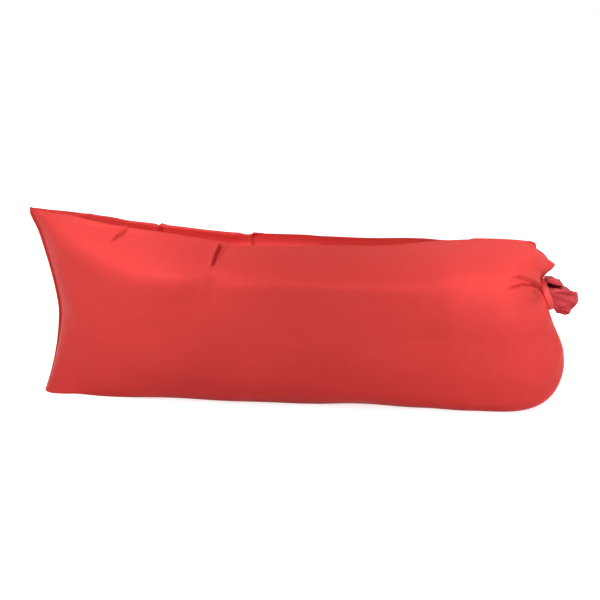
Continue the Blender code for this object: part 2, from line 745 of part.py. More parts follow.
def clear_scene():
    """Remove whatever the file holds before the model is made."""
    for obj in list(bpy.data.objects):
        bpy.data.objects.remove(obj, do_unlink=True)


def main():
    """Build every sub-part of the lounger."""
    clear_scene()
    rings = make_tubes()
    make_binding(rings)
    make_seam_tape(rings)
    make_mouth()
    make_straps()
    place_on_neck(make_socket() + make_plug())


main()
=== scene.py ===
"""Visual model of an inflatable air lounger: two satin fabric air tubes with a trough between them.

The tubes are sewn to one flat seam at the head end and gathered, pleated and strapped at the mouth
end. +X runs from the head to the mouth, +Y to the far tube, +Z up, in metres. Each tube is built in
its own depth, measured from the plane y = 0 between the tubes, and mirrored to its side at the end.
"""

from __future__ import annotations

import logging
import math
from dataclasses import dataclass, field, replace
from enum import Enum

import bmesh
import bpy
import numpy as np
from mathutils import Matrix, Vector

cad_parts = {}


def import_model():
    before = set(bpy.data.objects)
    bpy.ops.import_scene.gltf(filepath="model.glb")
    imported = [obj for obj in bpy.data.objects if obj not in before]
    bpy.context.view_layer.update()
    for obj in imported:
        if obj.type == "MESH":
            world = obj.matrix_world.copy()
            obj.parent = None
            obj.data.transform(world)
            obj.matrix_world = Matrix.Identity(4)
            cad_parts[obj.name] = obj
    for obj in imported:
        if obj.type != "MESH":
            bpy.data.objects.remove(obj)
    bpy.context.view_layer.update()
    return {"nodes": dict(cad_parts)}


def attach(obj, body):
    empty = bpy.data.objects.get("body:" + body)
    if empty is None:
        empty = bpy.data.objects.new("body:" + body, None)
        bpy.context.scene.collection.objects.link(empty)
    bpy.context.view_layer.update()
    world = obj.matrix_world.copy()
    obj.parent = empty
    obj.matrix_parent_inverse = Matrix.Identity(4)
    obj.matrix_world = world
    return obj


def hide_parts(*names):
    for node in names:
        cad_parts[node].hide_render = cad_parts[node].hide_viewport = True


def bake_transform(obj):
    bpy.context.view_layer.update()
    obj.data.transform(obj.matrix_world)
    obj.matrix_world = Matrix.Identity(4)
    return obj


LOG = logging.getLogger("air_lounger")
Places = tuple[tuple[float, float], ...]
Faces = list[tuple[int, ...]]
Waves = tuple[tuple[float, float, float, float], ...]
Vector3 = tuple[float, float, float]
Values = dict[str | int, object]
Socket = bpy.types.NodeSocket
TINY = 1e-12


class Side(Enum):
    """The side of the plane between the tubes that a piece is on."""

    NEAR = -1
    FAR = 1


class FoldKind(Enum):
    """How the fabric moves across a fold."""

    VALLEY = "valley"
    RIDGE = "ridge"
    ROLL = "roll"
    STEP = "step"
    TUCK = "tuck"


class FoldFace(Enum):
    """The face of a tube that a fold is drawn on: its outside or its trough side."""

    OUTER = "outer"
    INNER = "inner"


def ease(value: np.ndarray | float) -> np.ndarray | float:
    """Go from 0 to 1 with level ends.

    Args:
        value: the share of the way.

    Returns:
        The eased share, held between 0 and 1.
    """
    held = np.clip(value, 0.0, 1.0)
    return held * held * (3.0 - 2.0 * held)


def blend(start: np.ndarray | float, end: np.ndarray | float, share: np.ndarray | float) -> np.ndarray:
    """Mix two values.

    Args:
        start: the value at share 0.
        end: the value at share 1.
        share: the share of the way.

    Returns:
        The mixed value.
    """
    return start + (end - start) * share


def unit(rows: np.ndarray) -> np.ndarray:
    """Bring vectors to length 1, and leave those without a length at 0.

    Args:
        rows: the vectors, with their parts last.

    Returns:
        The unit vectors.
    """
    return rows / np.maximum(np.linalg.norm(rows, axis=-1, keepdims=True), TINY)


def lengths_along(path: np.ndarray) -> np.ndarray:
    """Measure a path.

    Args:
        path: its points, one row each.

    Returns:
        The distance of each point from the start, along the path.
    """
    return np.concatenate([[0.0], np.cumsum(np.linalg.norm(np.diff(path, axis=0), axis=1))])


def read_path(wanted: np.ndarray, along: np.ndarray, path: np.ndarray) -> np.ndarray:
    """Read a path at other distances.

    Args:
        wanted: the distances.
        along: the distance of each of its points.
        path: its points, or any rows that go with them.

    Returns:
        A row for each distance.
    """
    return np.stack([np.interp(wanted, along, column) for column in path.T], axis=1)


def relax(path: np.ndarray) -> None:
    """Draw the inner points of a path towards the middle of their neighbours."""
    path[1:-1] = (path[:-2] + 2.0 * path[1:-1] + path[2:]) / 4.0


@dataclass(frozen=True)
class Profile:
    """A smooth curve through a few places, without overshoot."""

    places: Places

    def at(self, value: np.ndarray | float) -> np.ndarray:
        """Read the curve.

        Args:
            value: where to read it.

        Returns:
            The height of the curve, level past both ends.
        """
        xs = np.array([p[0] for p in self.places])
        ys = np.array([p[1] for p in self.places])
        step = np.diff(xs)
        rise = np.diff(ys) / step
        slope = np.zeros_like(ys)
        same = rise[:-1] * rise[1:] > 0.0
        mean = 2.0 * rise[:-1] * rise[1:] / np.where(same, rise[:-1] + rise[1:], 1.0)
        slope[1:-1] = np.where(same, mean, 0.0)
        slope[0], slope[-1] = rise[0], rise[-1]
        held = np.clip(value, xs[0], xs[-1])
        cell = np.clip(np.searchsorted(xs, held, side="right") - 1, 0, len(step) - 1)
        share = (held - xs[cell]) / step[cell]
        square, cube = share**2, share**3
        return (
            (2 * cube - 3 * square + 1) * ys[cell]
            + (cube - 2 * square + share) * step[cell] * slope[cell]
            + (3 * square - 2 * cube) * ys[cell + 1]
            + (cube - square) * step[cell] * slope[cell + 1]
        )


# Meshes


def mesh_piece(name: str, points: np.ndarray, faces: Faces, closed: bool = True) -> bpy.types.Object:
    """Make a mesh object.

    Args:
        name: the piece's name.
        points: its points, one row each.
        faces: its faces, as rows of point numbers.
        closed: whether it is a closed piece, which is shaded smooth with its faces turned outwards.

    Returns:
        The object, linked to the scene.
    """
    data = bpy.data.meshes.new(name)
    data.from_pydata([tuple(p) for p in points], [], faces)
    data.validate()
    if closed:
        data.shade_smooth()
        work = bmesh.new()
        work.from_mesh(data)
        bmesh.ops.recalc_face_normals(work, faces=work.faces)
        work.to_mesh(data)
        work.free()
    obj = bpy.data.objects.new(name, data)
    bpy.context.scene.collection.objects.link(obj)
    return obj


def ring_faces(rows: int, columns: int, first: int = 0) -> Faces:
    """List the faces between rings of points.

    Args:
        rows: how many rings there are.
        columns: how many points a ring has.
        first: the number of the first point.

    Returns:
        The faces as rows of point numbers.
    """
    faces = []
    for row in range(rows - 1):
        low, high = first + row * columns, first + (row + 1) * columns
        for column in range(columns):
            after = (column + 1) % columns
            faces.append((low + column, low + after, high + after, high + column))
    return faces


def tube_faces(rows: int, columns: int, first: int = 0) -> Faces:
    """List the faces between rings of points, with one more over each end.

    Args:
        rows: how many rings there are.
        columns: how many points a ring has.
        first: the number of the first point.

    Returns:
        The faces as rows of point numbers.
    """
    last = first + (rows - 1) * columns
    ends = [tuple(range(first, first + columns))[::-1], tuple(range(last, last + columns))]
    return ring_faces(rows, columns, first) + ends


def sweep(name: str, path: np.ndarray, ups: np.ndarray, outline: np.ndarray) -> bpy.types.Object:
    """Carry an outline along a path.

    Args:
        name: the piece's name.
        path: the path's points.
        ups: at each point, the direction that the outline's second axis takes.
        outline: the outline, as pairs along the path's side and along the up direction.

    Returns:
        The object, closed at its ends.
    """
    ahead = unit(np.gradient(path, axis=0))
    ups = unit(ups - ahead * np.sum(ups * ahead, axis=1)[:, None])
    sides = np.cross(ahead, ups)
    across = sides[:, None, :] * outline[None, :, 0, None]
    grid = path[:, None, :] + across + ups[:, None, :] * outline[None, :, 1, None]
    return mesh_piece(name, grid.reshape(-1, 3), tube_faces(len(path), len(outline)))


def rounded_band(width: float, thick: float) -> np.ndarray:
    """Outline of a flat band with rounded edges.

    Args:
        width: the band's width.
        thick: its thickness.

    Returns:
        The outline's points, as pairs.
    """
    radius = thick / 2
    turn = np.linspace(-math.pi / 2, math.pi / 2, 7)
    right = np.stack([width / 2 - radius + radius * np.cos(turn), radius * np.sin(turn)], axis=1)
    return np.concatenate([right, -right])


def stitches(
    name: str, path: np.ndarray, ups: np.ndarray, length: float, gap: float, thick: float
) -> bpy.types.Object:
    """Lay a row of stitches along a line.

    Args:
        name: the piece's name.
        path: the line's points, on the cloth.
        ups: the direction away from the cloth at each point.
        length: the length of a stitch.
        gap: the space between two stitches.
        thick: the thread's thickness.

    Returns:
        One object that holds the whole row.
    """
    along = lengths_along(path)
    count = max(int(along[-1] / (length + gap)), 1)
    starts = (np.arange(count) + 0.5) * along[-1] / count - length / 2
    shares = np.array([0.0, 0.12, 0.5, 0.88, 1.0])
    heights = np.array([0.0, 0.6, 0.9, 0.6, 0.0]) * thick / 2
    radii = np.array([0.55, 0.9, 1.0, 0.9, 0.55]) * thick / 2
    turn = np.arange(6) * math.pi / 3
    points: list[np.ndarray] = []
    faces: Faces = []
    for number, start in enumerate(starts):
        at = start + shares * length
        spine, up = read_path(at, along, path), unit(read_path(at, along, ups))
        side = unit(np.cross(np.gradient(spine, axis=0), up))
        spine = spine + up * heights[:, None]
        around = side[:, None, :] * np.cos(turn)[None, :, None] + up[:, None, :] * np.sin(turn)[None, :, None]
        points.append((spine[:, None, :] + around * radii[:, None, None]).reshape(-1, 3))
        faces += tube_faces(len(shares), len(turn), number * len(shares) * len(turn))
    return mesh_piece(name, np.concatenate(points), faces)


def place(
    obj: bpy.types.Object,
    finish: bpy.types.Material,
    slot: str,
    body: str | None = "lounger",
    nodes: tuple[str, ...] = (),
) -> None:
    """Finish a piece and seat it in the model.

    Args:
        obj: the piece.
        finish: its material.
        slot: the record's material slot that the finish belongs to; not used.
        body: the body that it moves with, or None where it bends between two.
        nodes: the CAD nodes that it stands for.
    """
    obj.data.materials.append(finish)
    if body:
        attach(obj, body)
    if nodes:
        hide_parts(*nodes)
    LOG.info("%s: %d points, rides on %s", obj.name, len(obj.data.vertices), body or "two bodies")


# Shape of one air tube


@dataclass(frozen=True)
class TubeShape:
    """Sizes and curves of one inflated tube, in its own depth from the plane between the tubes.

    A name that ends in run is the length over which something fades in or out. One that ends in power
    is the power of a curve. A section's upper quarters run from the crest to the side as cubic curves:
    leave is the first of their inner points and shoulder the second, as shares across and up.
    """

    head_x: float = -0.953
    tip_x: float = 0.953
    tube_height: float = 0.530
    tube_width: float = 0.345
    crest_offset: float = 0.180
    floor_offset: float = 0.160
    arch_offset: float = -0.060
    arch_ends: tuple[float, float] = (-0.72, 0.59)
    arch_runs: tuple[float, float] = (0.25, 0.15)
    crest_trim: Profile | None = None
    widest_height: float = 0.255
    join_height: float = 0.250
    floor_sink: float = 0.007
    wall_press: float = 0.008
    swell_run: float = 0.70
    swell_delay: float = 0.015
    swell_power: float = 0.60
    open_power: float = 3.8
    contact_run: float = 0.08
    contact_power: float = 0.45
    section_power: float = 0.80
    square_share: float = 0.75
    crease_run: float = 0.12
    outer_leave: tuple[float, float] = (0.50, 0.85)
    inner_leave: tuple[float, float] = (0.50, 0.85)
    shoulder: tuple[float, float] = (1.08, 0.84)
    mouth_rise: float = 0.025
    mouth_rise_before_neck: float = 0.683
    mouth_rise_run: float = 0.50
    crest_close_before_neck: float = 0.983
    crest_close_run: float = 0.92
    crest_close_share: float = 0.84
    ear_run_down: float = 0.78
    ear_down_power: float = 1.22
    ear_power: float = 1.35
    heel_power: float = 2.0
    ear_height: float = 0.630
    ear_reach: float = 0.100
    ear_blunt: float = 0.060
    heel_reach: float = 0.046
    waist_height: float = 0.270
    seam_tab: float = 0.009
    reach_fade_run: float = 0.35
    press_run: float = 0.08
    taper_start: float = 0.44
    taper_ease: float = 0.12
    taper_slope: float = 0.110
    seam_depth: float = 0.00065
    least_width: float = 0.00115
    seam_spacing: float = 0.00015
    spacing_run: float = 0.036
    tube_spacing: float = 0.0010
    neck_to_tip: float = 0.120
    neck_z: float = 0.362
    neck_half_height: float = 0.050
    neck_half_width: float = 0.056
    neck_ridge: float = 0.012
    neck_power: float = 0.90
    neck_length: float = 0.028
    neck_tilt: float = math.radians(22.5)
    round_end_length: float = 0.235
    bulge_low: float = 0.066
    bulge_foot: float = -0.014
    bulge_side: float = 0.028
    bulge_shoulder: float = -0.022
    bulge_ear: float = -0.002
    bulge_depth: float = 0.060
    cap_power: float = 0.64
    cap_low_power: float = 0.52
    cap_high_power: float = 0.46
    cap_hollow: float = 0.45

    @property
    def waist_x(self) -> float:
        """Where the head seam's waist is."""
        return self.head_x + self.ear_reach

    @property
    def neck_x(self) -> float:
        """Where the neck starts."""
        return self.tip_x - self.neck_to_tip

    @property
    def body_run(self) -> float:
        """Length from the waist to the last full section."""
        return self.neck_x - self.round_end_length - self.waist_x

    def edge_reach(self, height: np.ndarray) -> np.ndarray:
        """How far the head seam stands out past its waist.

        Args:
            height: heights on the seam.

        Returns:
            The reach at each height.
        """
        above = np.maximum(height - self.waist_height, 0.0) / (self.ear_height - self.waist_height)
        above = np.minimum(above + self.ear_blunt * ease((above - 0.75) / 0.20), 1.0)
        below = np.maximum(self.waist_height - height, 0.0) / self.waist_height
        return self.ear_reach * above**self.ear_power + self.heel_reach * below**self.heel_power

    def crest_height(self, x: np.ndarray) -> np.ndarray:
        """Height of the tube's top.

        Args:
            x: places along the tube.

        Returns:
            The height at each place.
        """
        down = np.maximum(1.0 - (x - self.head_x) / self.ear_run_down, 0.0) ** self.ear_down_power
        risen = ease((x - self.neck_x + self.mouth_rise_before_neck) / self.mouth_rise_run)
        trim = 0.0 if self.crest_trim is None else self.crest_trim.at(x)
        return self.tube_height + (self.ear_height - self.tube_height) * down + self.mouth_rise * risen + trim

    @staticmethod
    def swell(run: np.ndarray, full_run: float, power: float) -> np.ndarray:
        """Share of its full width that the tube has reached.

        Args:
            run: distance from the seam tab.
            full_run: the distance at which it is full.
            power: how abruptly it starts, the less the more.

        Returns:
            The share, from 0 to 1.
        """
        left = np.maximum(1.0 - run / full_run, 0.0)
        return np.maximum(1.0 - left**2.5, 0.0) ** power

    @staticmethod
    def angles(turn: np.ndarray) -> np.ndarray:
        """Angle round the section: -90 degrees at the floor for turn 0 and 2, 90 at the crest for turn 1.

        Args:
            turn: places round the tube, from 0 up the outside to 1, and down the trough side to 2.

        Returns:
            The angles in radians.
        """
        return np.where(turn <= 1.0, turn - 0.5, 1.5 - turn) * math.pi

    def spans(self, grown: np.ndarray, plane: np.ndarray) -> tuple[np.ndarray, np.ndarray, np.ndarray]:
        """Depths that the sections reach.

        Args:
            grown: distance from the seam tab, one for each row.
            plane: place along X, one for each row.

        Returns:
            The depths of the widest point, of the crest and of the edge of the contact with the floor.
        """
        tapered = np.maximum(plane - self.taper_start, 0.0)
        tapered = self.taper_slope * tapered**2 / (tapered + self.taper_ease)
        delayed = grown**2 / (grown + self.swell_delay)
        width = (self.tube_width - tapered) * self.swell(delayed, self.swell_run, self.swell_power)
        opened = 1.0 - np.maximum(1.0 - grown / self.swell_run, 0.0) ** self.open_power
        closed = ease((plane - self.neck_x + self.crest_close_before_neck) / self.crest_close_run)
        crest = self.crest_offset * opened * (1.0 - self.crest_close_share * closed)
        arch = self.arch_offset * ease((plane - self.arch_ends[0]) / self.arch_runs[0])
        arch = arch * ease((self.arch_ends[1] - plane) / self.arch_runs[1])
        contact = (self.floor_offset + arch) * self.swell(grown, self.contact_run, self.contact_power)
        least = (self.least_width, self.seam_depth, self.seam_depth)
        return tuple(np.maximum(span, floor) for span, floor in zip((width, crest, contact), least))

    def rounding(
        self, grown: np.ndarray, angle: np.ndarray, outer: np.ndarray
    ) -> tuple[np.ndarray, np.ndarray]:
        """Roundness of the sections.

        Args:
            grown: distance from the seam tab, one for each row.
            angle: angle round the section, one for each column.
            outer: whether the column is on the outside.

        Returns:
            Shares of the way out to the side, and of the way from the middle's height up or down.
        """
        across = np.maximum(np.cos(angle), 0.0) ** self.section_power
        lift = np.abs(np.sin(angle)) ** self.section_power
        creased = np.where(angle > 0.0, ease(grown / self.crease_run), 0.0)
        down = np.clip(1.0 - angle / (math.pi / 2), 0.0, 1.0)
        start, leave_part = (1.0 - down) ** 3, down * 3.0 * (1.0 - down) ** 2
        shoulder_part, side_part = 3.0 * down**2 * (1.0 - down), down**3
        leave = [np.where(outer, *pair) for pair in zip(self.outer_leave, self.inner_leave)]
        bent = leave[0] * leave_part + self.shoulder[0] * shoulder_part + side_part
        lifted = start + leave[1] * leave_part + self.shoulder[1] * shoulder_part
        return blend(across, bent, creased), blend(lift, lifted, creased)

    def section(self, run: np.ndarray, turn: np.ndarray) -> tuple[np.ndarray, np.ndarray]:
        """Depth and height of points on the tube.

        Args:
            run: distance from the waist, one for each row.
            turn: places round the tube, one for each column.

        Returns:
            Two tables of rows by columns.
        """
        run, angle = run[:, None], self.angles(turn)[None, :]
        outer, upper = (turn <= 1.0)[None, :], angle > 0.0
        plane = self.waist_x + run
        grown = np.maximum(run - self.seam_tab, 0.0)
        width, crest, contact = self.spans(grown, plane)
        across, lift = self.rounding(grown, angle, outer)
        spread = ease((contact / width - self.square_share) / (1.0 - self.square_share))
        across = np.where(outer & (angle < 0.0), blend(across, 1.0 - lift, spread), across)
        anchor = np.where(upper, crest, contact)
        spacing = blend(self.seam_spacing, self.tube_spacing, ease(grown / self.spacing_run))
        press = self.wall_press * ease(grown / self.press_run)
        inner_depth = np.maximum(blend(anchor, spacing - press, across), spacing)
        depth = np.where(outer, blend(anchor, width, across), inner_depth)
        top = self.crest_height(plane - self.ear_reach * (1.0 - ease(run / self.reach_fade_run)))
        low = blend(self.widest_height, self.join_height, ease(grown / self.swell_run))
        middle = np.where(outer, self.widest_height, low)
        height = np.where(upper, blend(middle, top, lift), middle * (1.0 - lift))
        sink = self.floor_sink * ease(grown / self.press_run)
        return depth, np.maximum(height - sink, 0.0) * top / (top - sink)

    def body(self, run: np.ndarray, turn: np.ndarray) -> np.ndarray:
        """Points between the head seam and the gathered end.

        Args:
            run: distance from the waist, one for each row.
            turn: places round the tube, one for each column.

        Returns:
            Points as rows by columns by x, depth and height.
        """
        depth, height = self.section(run, turn)
        fade = 1.0 - ease(run / self.reach_fade_run)[:, None]
        return np.stack([self.waist_x + run[:, None] - self.edge_reach(height) * fade, depth, height], axis=2)

    def neck_place(self, along: np.ndarray | float, depth: np.ndarray, up: np.ndarray) -> np.ndarray:
        """Points in the neck's own tilted axes.

        Args:
            along: distances along the neck.
            depth: distances across it.
            up: distances up its face.

        Returns:
            The points, with x, depth and height last.
        """
        x = self.neck_x + along * math.cos(self.neck_tilt) - up * math.sin(self.neck_tilt)
        z = self.neck_z + along * math.sin(self.neck_tilt) + up * math.cos(self.neck_tilt)
        x, depth, z = np.broadcast_arrays(x, depth, z)
        return np.stack([x, depth, z], axis=-1)

    def neck(self, along: float, turn: np.ndarray, stand: float = 0.0, gathers: float = 0.0) -> np.ndarray:
        """One ring of the tube's gathered neck.

        Args:
            along: distance along the neck.
            turn: places round the tube.
            stand: how far the ring stands off.
            gathers: depth of the small folds round it.

        Returns:
            The ring's points.
        """
        angle = self.angles(turn)
        across = np.maximum(np.cos(angle), 0.0) ** self.neck_power
        folds = gathers * (np.cos(turn * 26.0 * math.pi) + 0.4 * np.cos(turn * 43.0 * math.pi + 1.1))
        out = stand + folds * np.minimum(np.cos(angle) * 4.0, 1.0)
        up = (self.neck_half_height + out) * np.sin(angle)
        outer = blend(self.neck_ridge, self.neck_half_width, across) + out * np.cos(angle)
        inner = blend(self.neck_ridge, self.tube_spacing, ease(across / 0.5))
        return self.neck_place(along, np.where(turn <= 1.0, outer, inner), up)

    def bulge_x(self, turn: np.ndarray) -> np.ndarray:
        """How far along X the gathered end stands out.

        Args:
            turn: places round the tube.

        Returns:
            The x of the furthest point on each line to the neck.
        """
        level = np.sin(self.angles(turn))
        low = blend(self.bulge_side, self.bulge_low, ease(-level / 0.62))
        low = low - self.bulge_foot * ease((-level - 0.62) / 0.38)
        shoulder = blend(self.bulge_side, self.bulge_shoulder, ease(level / 0.30))
        high = blend(shoulder, self.bulge_ear, ease((level - 0.60) / 0.40))
        return self.neck_x + np.where(level < 0.0, low, high)

    def cap(self, turn: np.ndarray, rows: int) -> np.ndarray:
        """Points of the gathered end, evenly spaced on each line from the last full section to the neck.

        Args:
            turn: places round the tube.
            rows: how many rows to make.

        Returns:
            Points as rows by columns by x, depth and height, both ends among them.
        """
        start = self.body(np.array([self.body_run]), turn)[0]
        end = self.neck(0.0, turn)
        angle = (np.linspace(0.0, 1.0, 500) ** 1.6 * math.pi / 2)[:, None]
        level = np.sin(self.angles(turn))
        end_power = np.where(level < 0.0, self.cap_low_power, self.cap_high_power)
        full = blend(self.cap_power, end_power, np.abs(level))[None, :]
        radial = np.maximum(np.cos(angle), 0.0) ** full
        reach = np.maximum(np.sin(angle), 0.0) ** full
        point = blend(end[None], start[None], radial[:, :, None])
        plane = self.neck_x - (point[:, :, 2] - self.neck_z) * math.tan(self.neck_tilt)
        plane = np.minimum(plane, self.neck_x + self.bulge_low)
        clear = ease(point[:, :, 1] / self.bulge_depth)
        away = np.hypot(point[:, :, 1] - end[None, :, 1], point[:, :, 2] - end[None, :, 2])
        hollow = plane - self.cap_hollow * np.where(turn > 1.0, away, 0.0) * (1.0 - clear)
        pull = ease((radial - 0.26) / 0.35) * clear
        far = blend(hollow, self.bulge_x(turn)[None, :], pull)
        point[:, :, 0] = blend(start[None, :, 0], far, reach)
        steps = np.linalg.norm(np.diff(point, axis=0), axis=2)
        along = np.concatenate([np.zeros((1, len(turn))), np.cumsum(steps, axis=0)])
        result = np.empty((rows, len(turn), 3))
        for column in range(len(turn)):
            wanted = np.linspace(0.0, along[-1, column], rows)
            for axis in range(3):
                result[:, column, axis] = np.interp(wanted, along[:, column], point[:, column, axis])
        return result

    def even_turns(self, count: int) -> np.ndarray:
        """Places round the tube, the same on both its sides, set closer where the folds are.

        Args:
            count: how many to make, an even number.

        Returns:
            The places, from 0 to just under 2.
        """
        fine = np.linspace(0.0, 1.0, 2001)
        depth, height = self.section(np.array([self.body_run * 0.6]), fine)
        closer = blend(1.0, 2.4, ease((height[0, 1:] - 0.34) / 0.05))
        steps = np.hypot(np.diff(depth[0]), np.diff(height[0])) * closer
        along = np.concatenate([[0.0], np.cumsum(steps)])
        half = np.interp(np.linspace(0.0, along[-1], count // 2 + 1), along, fine)
        return np.concatenate([half, 2.0 - half[-2:0:-1]])


def grid_normals(grid: np.ndarray) -> np.ndarray:
    """Outward directions on a tube's grid.

    Args:
        grid: points as rows by columns, closed round the columns.

    Returns:
        Unit directions, one for each point.
    """
    around = np.roll(grid, -1, axis=1) - np.roll(grid, 1, axis=1)
    return unit(np.cross(around, np.gradient(grid, axis=0)))


# Folds

FOLD_STEP = 0.004
FOLD_REACH = 5.0


@dataclass(frozen=True)
class Fold:
    """One fold in a tube's fabric, drawn on one of its faces by its places in x and height."""

    kind: FoldKind
    places: Places
    depth: float
    width: float
    face: FoldFace = FoldFace.OUTER
    start_fade: float = 0.25
    end_fade: float = 0.25

    def profile(self, across: np.ndarray) -> np.ndarray:
        """Height of the fabric across the fold.

        Args:
            across: signed distance from the line, in widths.

        Returns:
            The height, in depths of the fold.
        """
        away = np.abs(across)
        if self.kind is FoldKind.VALLEY:
            return -np.exp(-1.8 * away**1.3) + 0.30 * np.exp(-2.0 * (away - 1.5) ** 2)
        if self.kind is FoldKind.ROLL:
            return np.exp(-(across**2))
        if self.kind is FoldKind.RIDGE:
            return np.exp(-1.6 * away**1.4)
        if self.kind is FoldKind.STEP:
            return np.tanh(2.5 * across) * np.exp(-away / 2.5)
        dropped = ease(across / 0.30)
        raised = 0.6 * np.exp(-0.8 * across**2)
        sunk = np.exp(-(((across - 0.30) / 0.9) ** 2))
        return raised * (1.0 - dropped) - dropped * sunk

    def lay(self, grid: np.ndarray, normals: np.ndarray, turn: np.ndarray) -> np.ndarray:
        """Work out how far the fold moves each point of a tube.

        Args:
            grid: the tube's points.
            normals: outward directions at them.
            turn: places round the tube of the columns.

        Returns:
            Distances along the normals.
        """
        low, high = (0.05, 1.0) if self.face is FoldFace.OUTER else (1.0, 1.95)
        solid = grid[:, (turn >= low) & (turn <= high)].reshape(-1, 3)
        places = np.array(self.places)
        steps = lengths_along(places)
        count = max(int(steps[-1] / FOLD_STEP), 4)
        wanted = np.linspace(0.0, steps[-1], count)
        line = np.stack([Profile(tuple(zip(steps, column))).at(wanted) for column in places.T], axis=1)
        nearest = np.argmin(np.linalg.norm(solid[None, :, ::2] - line[:, None, :], axis=2), axis=1)
        drawn = solid[nearest]
        for _ in range(2):
            relax(drawn)
        tangent = unit(np.gradient(drawn, axis=0))
        moved = np.zeros(grid.shape[:2])
        reach = self.width * FOLD_REACH
        inside = np.all((grid > drawn.min(axis=0) - reach) & (grid < drawn.max(axis=0) + reach), axis=2)
        rows, cols = np.where(inside)
        points, around = grid[rows, cols], normals[rows, cols]
        gaps = np.linalg.norm(points[:, None, :] - drawn[None, :, :], axis=2)
        at = np.argmin(gaps, axis=1)
        side = np.sign(np.sum(np.cross(tangent[at], around) * (points - drawn[at]), axis=1))
        across = gaps[np.arange(len(at)), at] * side / self.width
        share = at / (count - 1)
        taper = ease(share / self.start_fade) * ease((1.0 - share) / self.end_fade)
        fade = ease((FOLD_REACH - np.abs(across)) / 2.0)
        moved[rows, cols] = self.depth * self.profile(across) * taper * fade
        return moved


@dataclass(frozen=True)
class Swelling:
    """A broad, shallow rise or hollow on a tube's outside, by its place in x and height."""

    x: float
    height: float
    long: float
    tall: float
    rise: float

    def lay(self, grid: np.ndarray, turn: np.ndarray) -> np.ndarray:
        """Work out how far it moves each point of a tube.

        Args:
            grid: the tube's points.
            turn: places round the tube of the columns.

        Returns:
            Distances along the normals.
        """
        away = ((grid[:, :, 0] - self.x) / self.long) ** 2 + ((grid[:, :, 2] - self.height) / self.tall) ** 2
        return self.rise * np.exp(-away) * np.where(turn <= 1.0, 1.0, 0.0)[None, :]


def ripples(x: np.ndarray, y: np.ndarray, waves: Waves) -> np.ndarray:
    """Add up a few long waves.

    Args:
        x: first coordinate.
        y: second coordinate.
        waves: for each wave its height, its turns a metre in x and in y, and its phase in turns.

    Returns:
        The summed height.
    """
    total = np.zeros(np.broadcast(x, y).shape)
    for height, in_x, in_y, phase in waves:
        total = total + height * np.sin(2.0 * math.pi * (x * in_x + y * in_y + phase))
    return total


# Pieces of the lounger


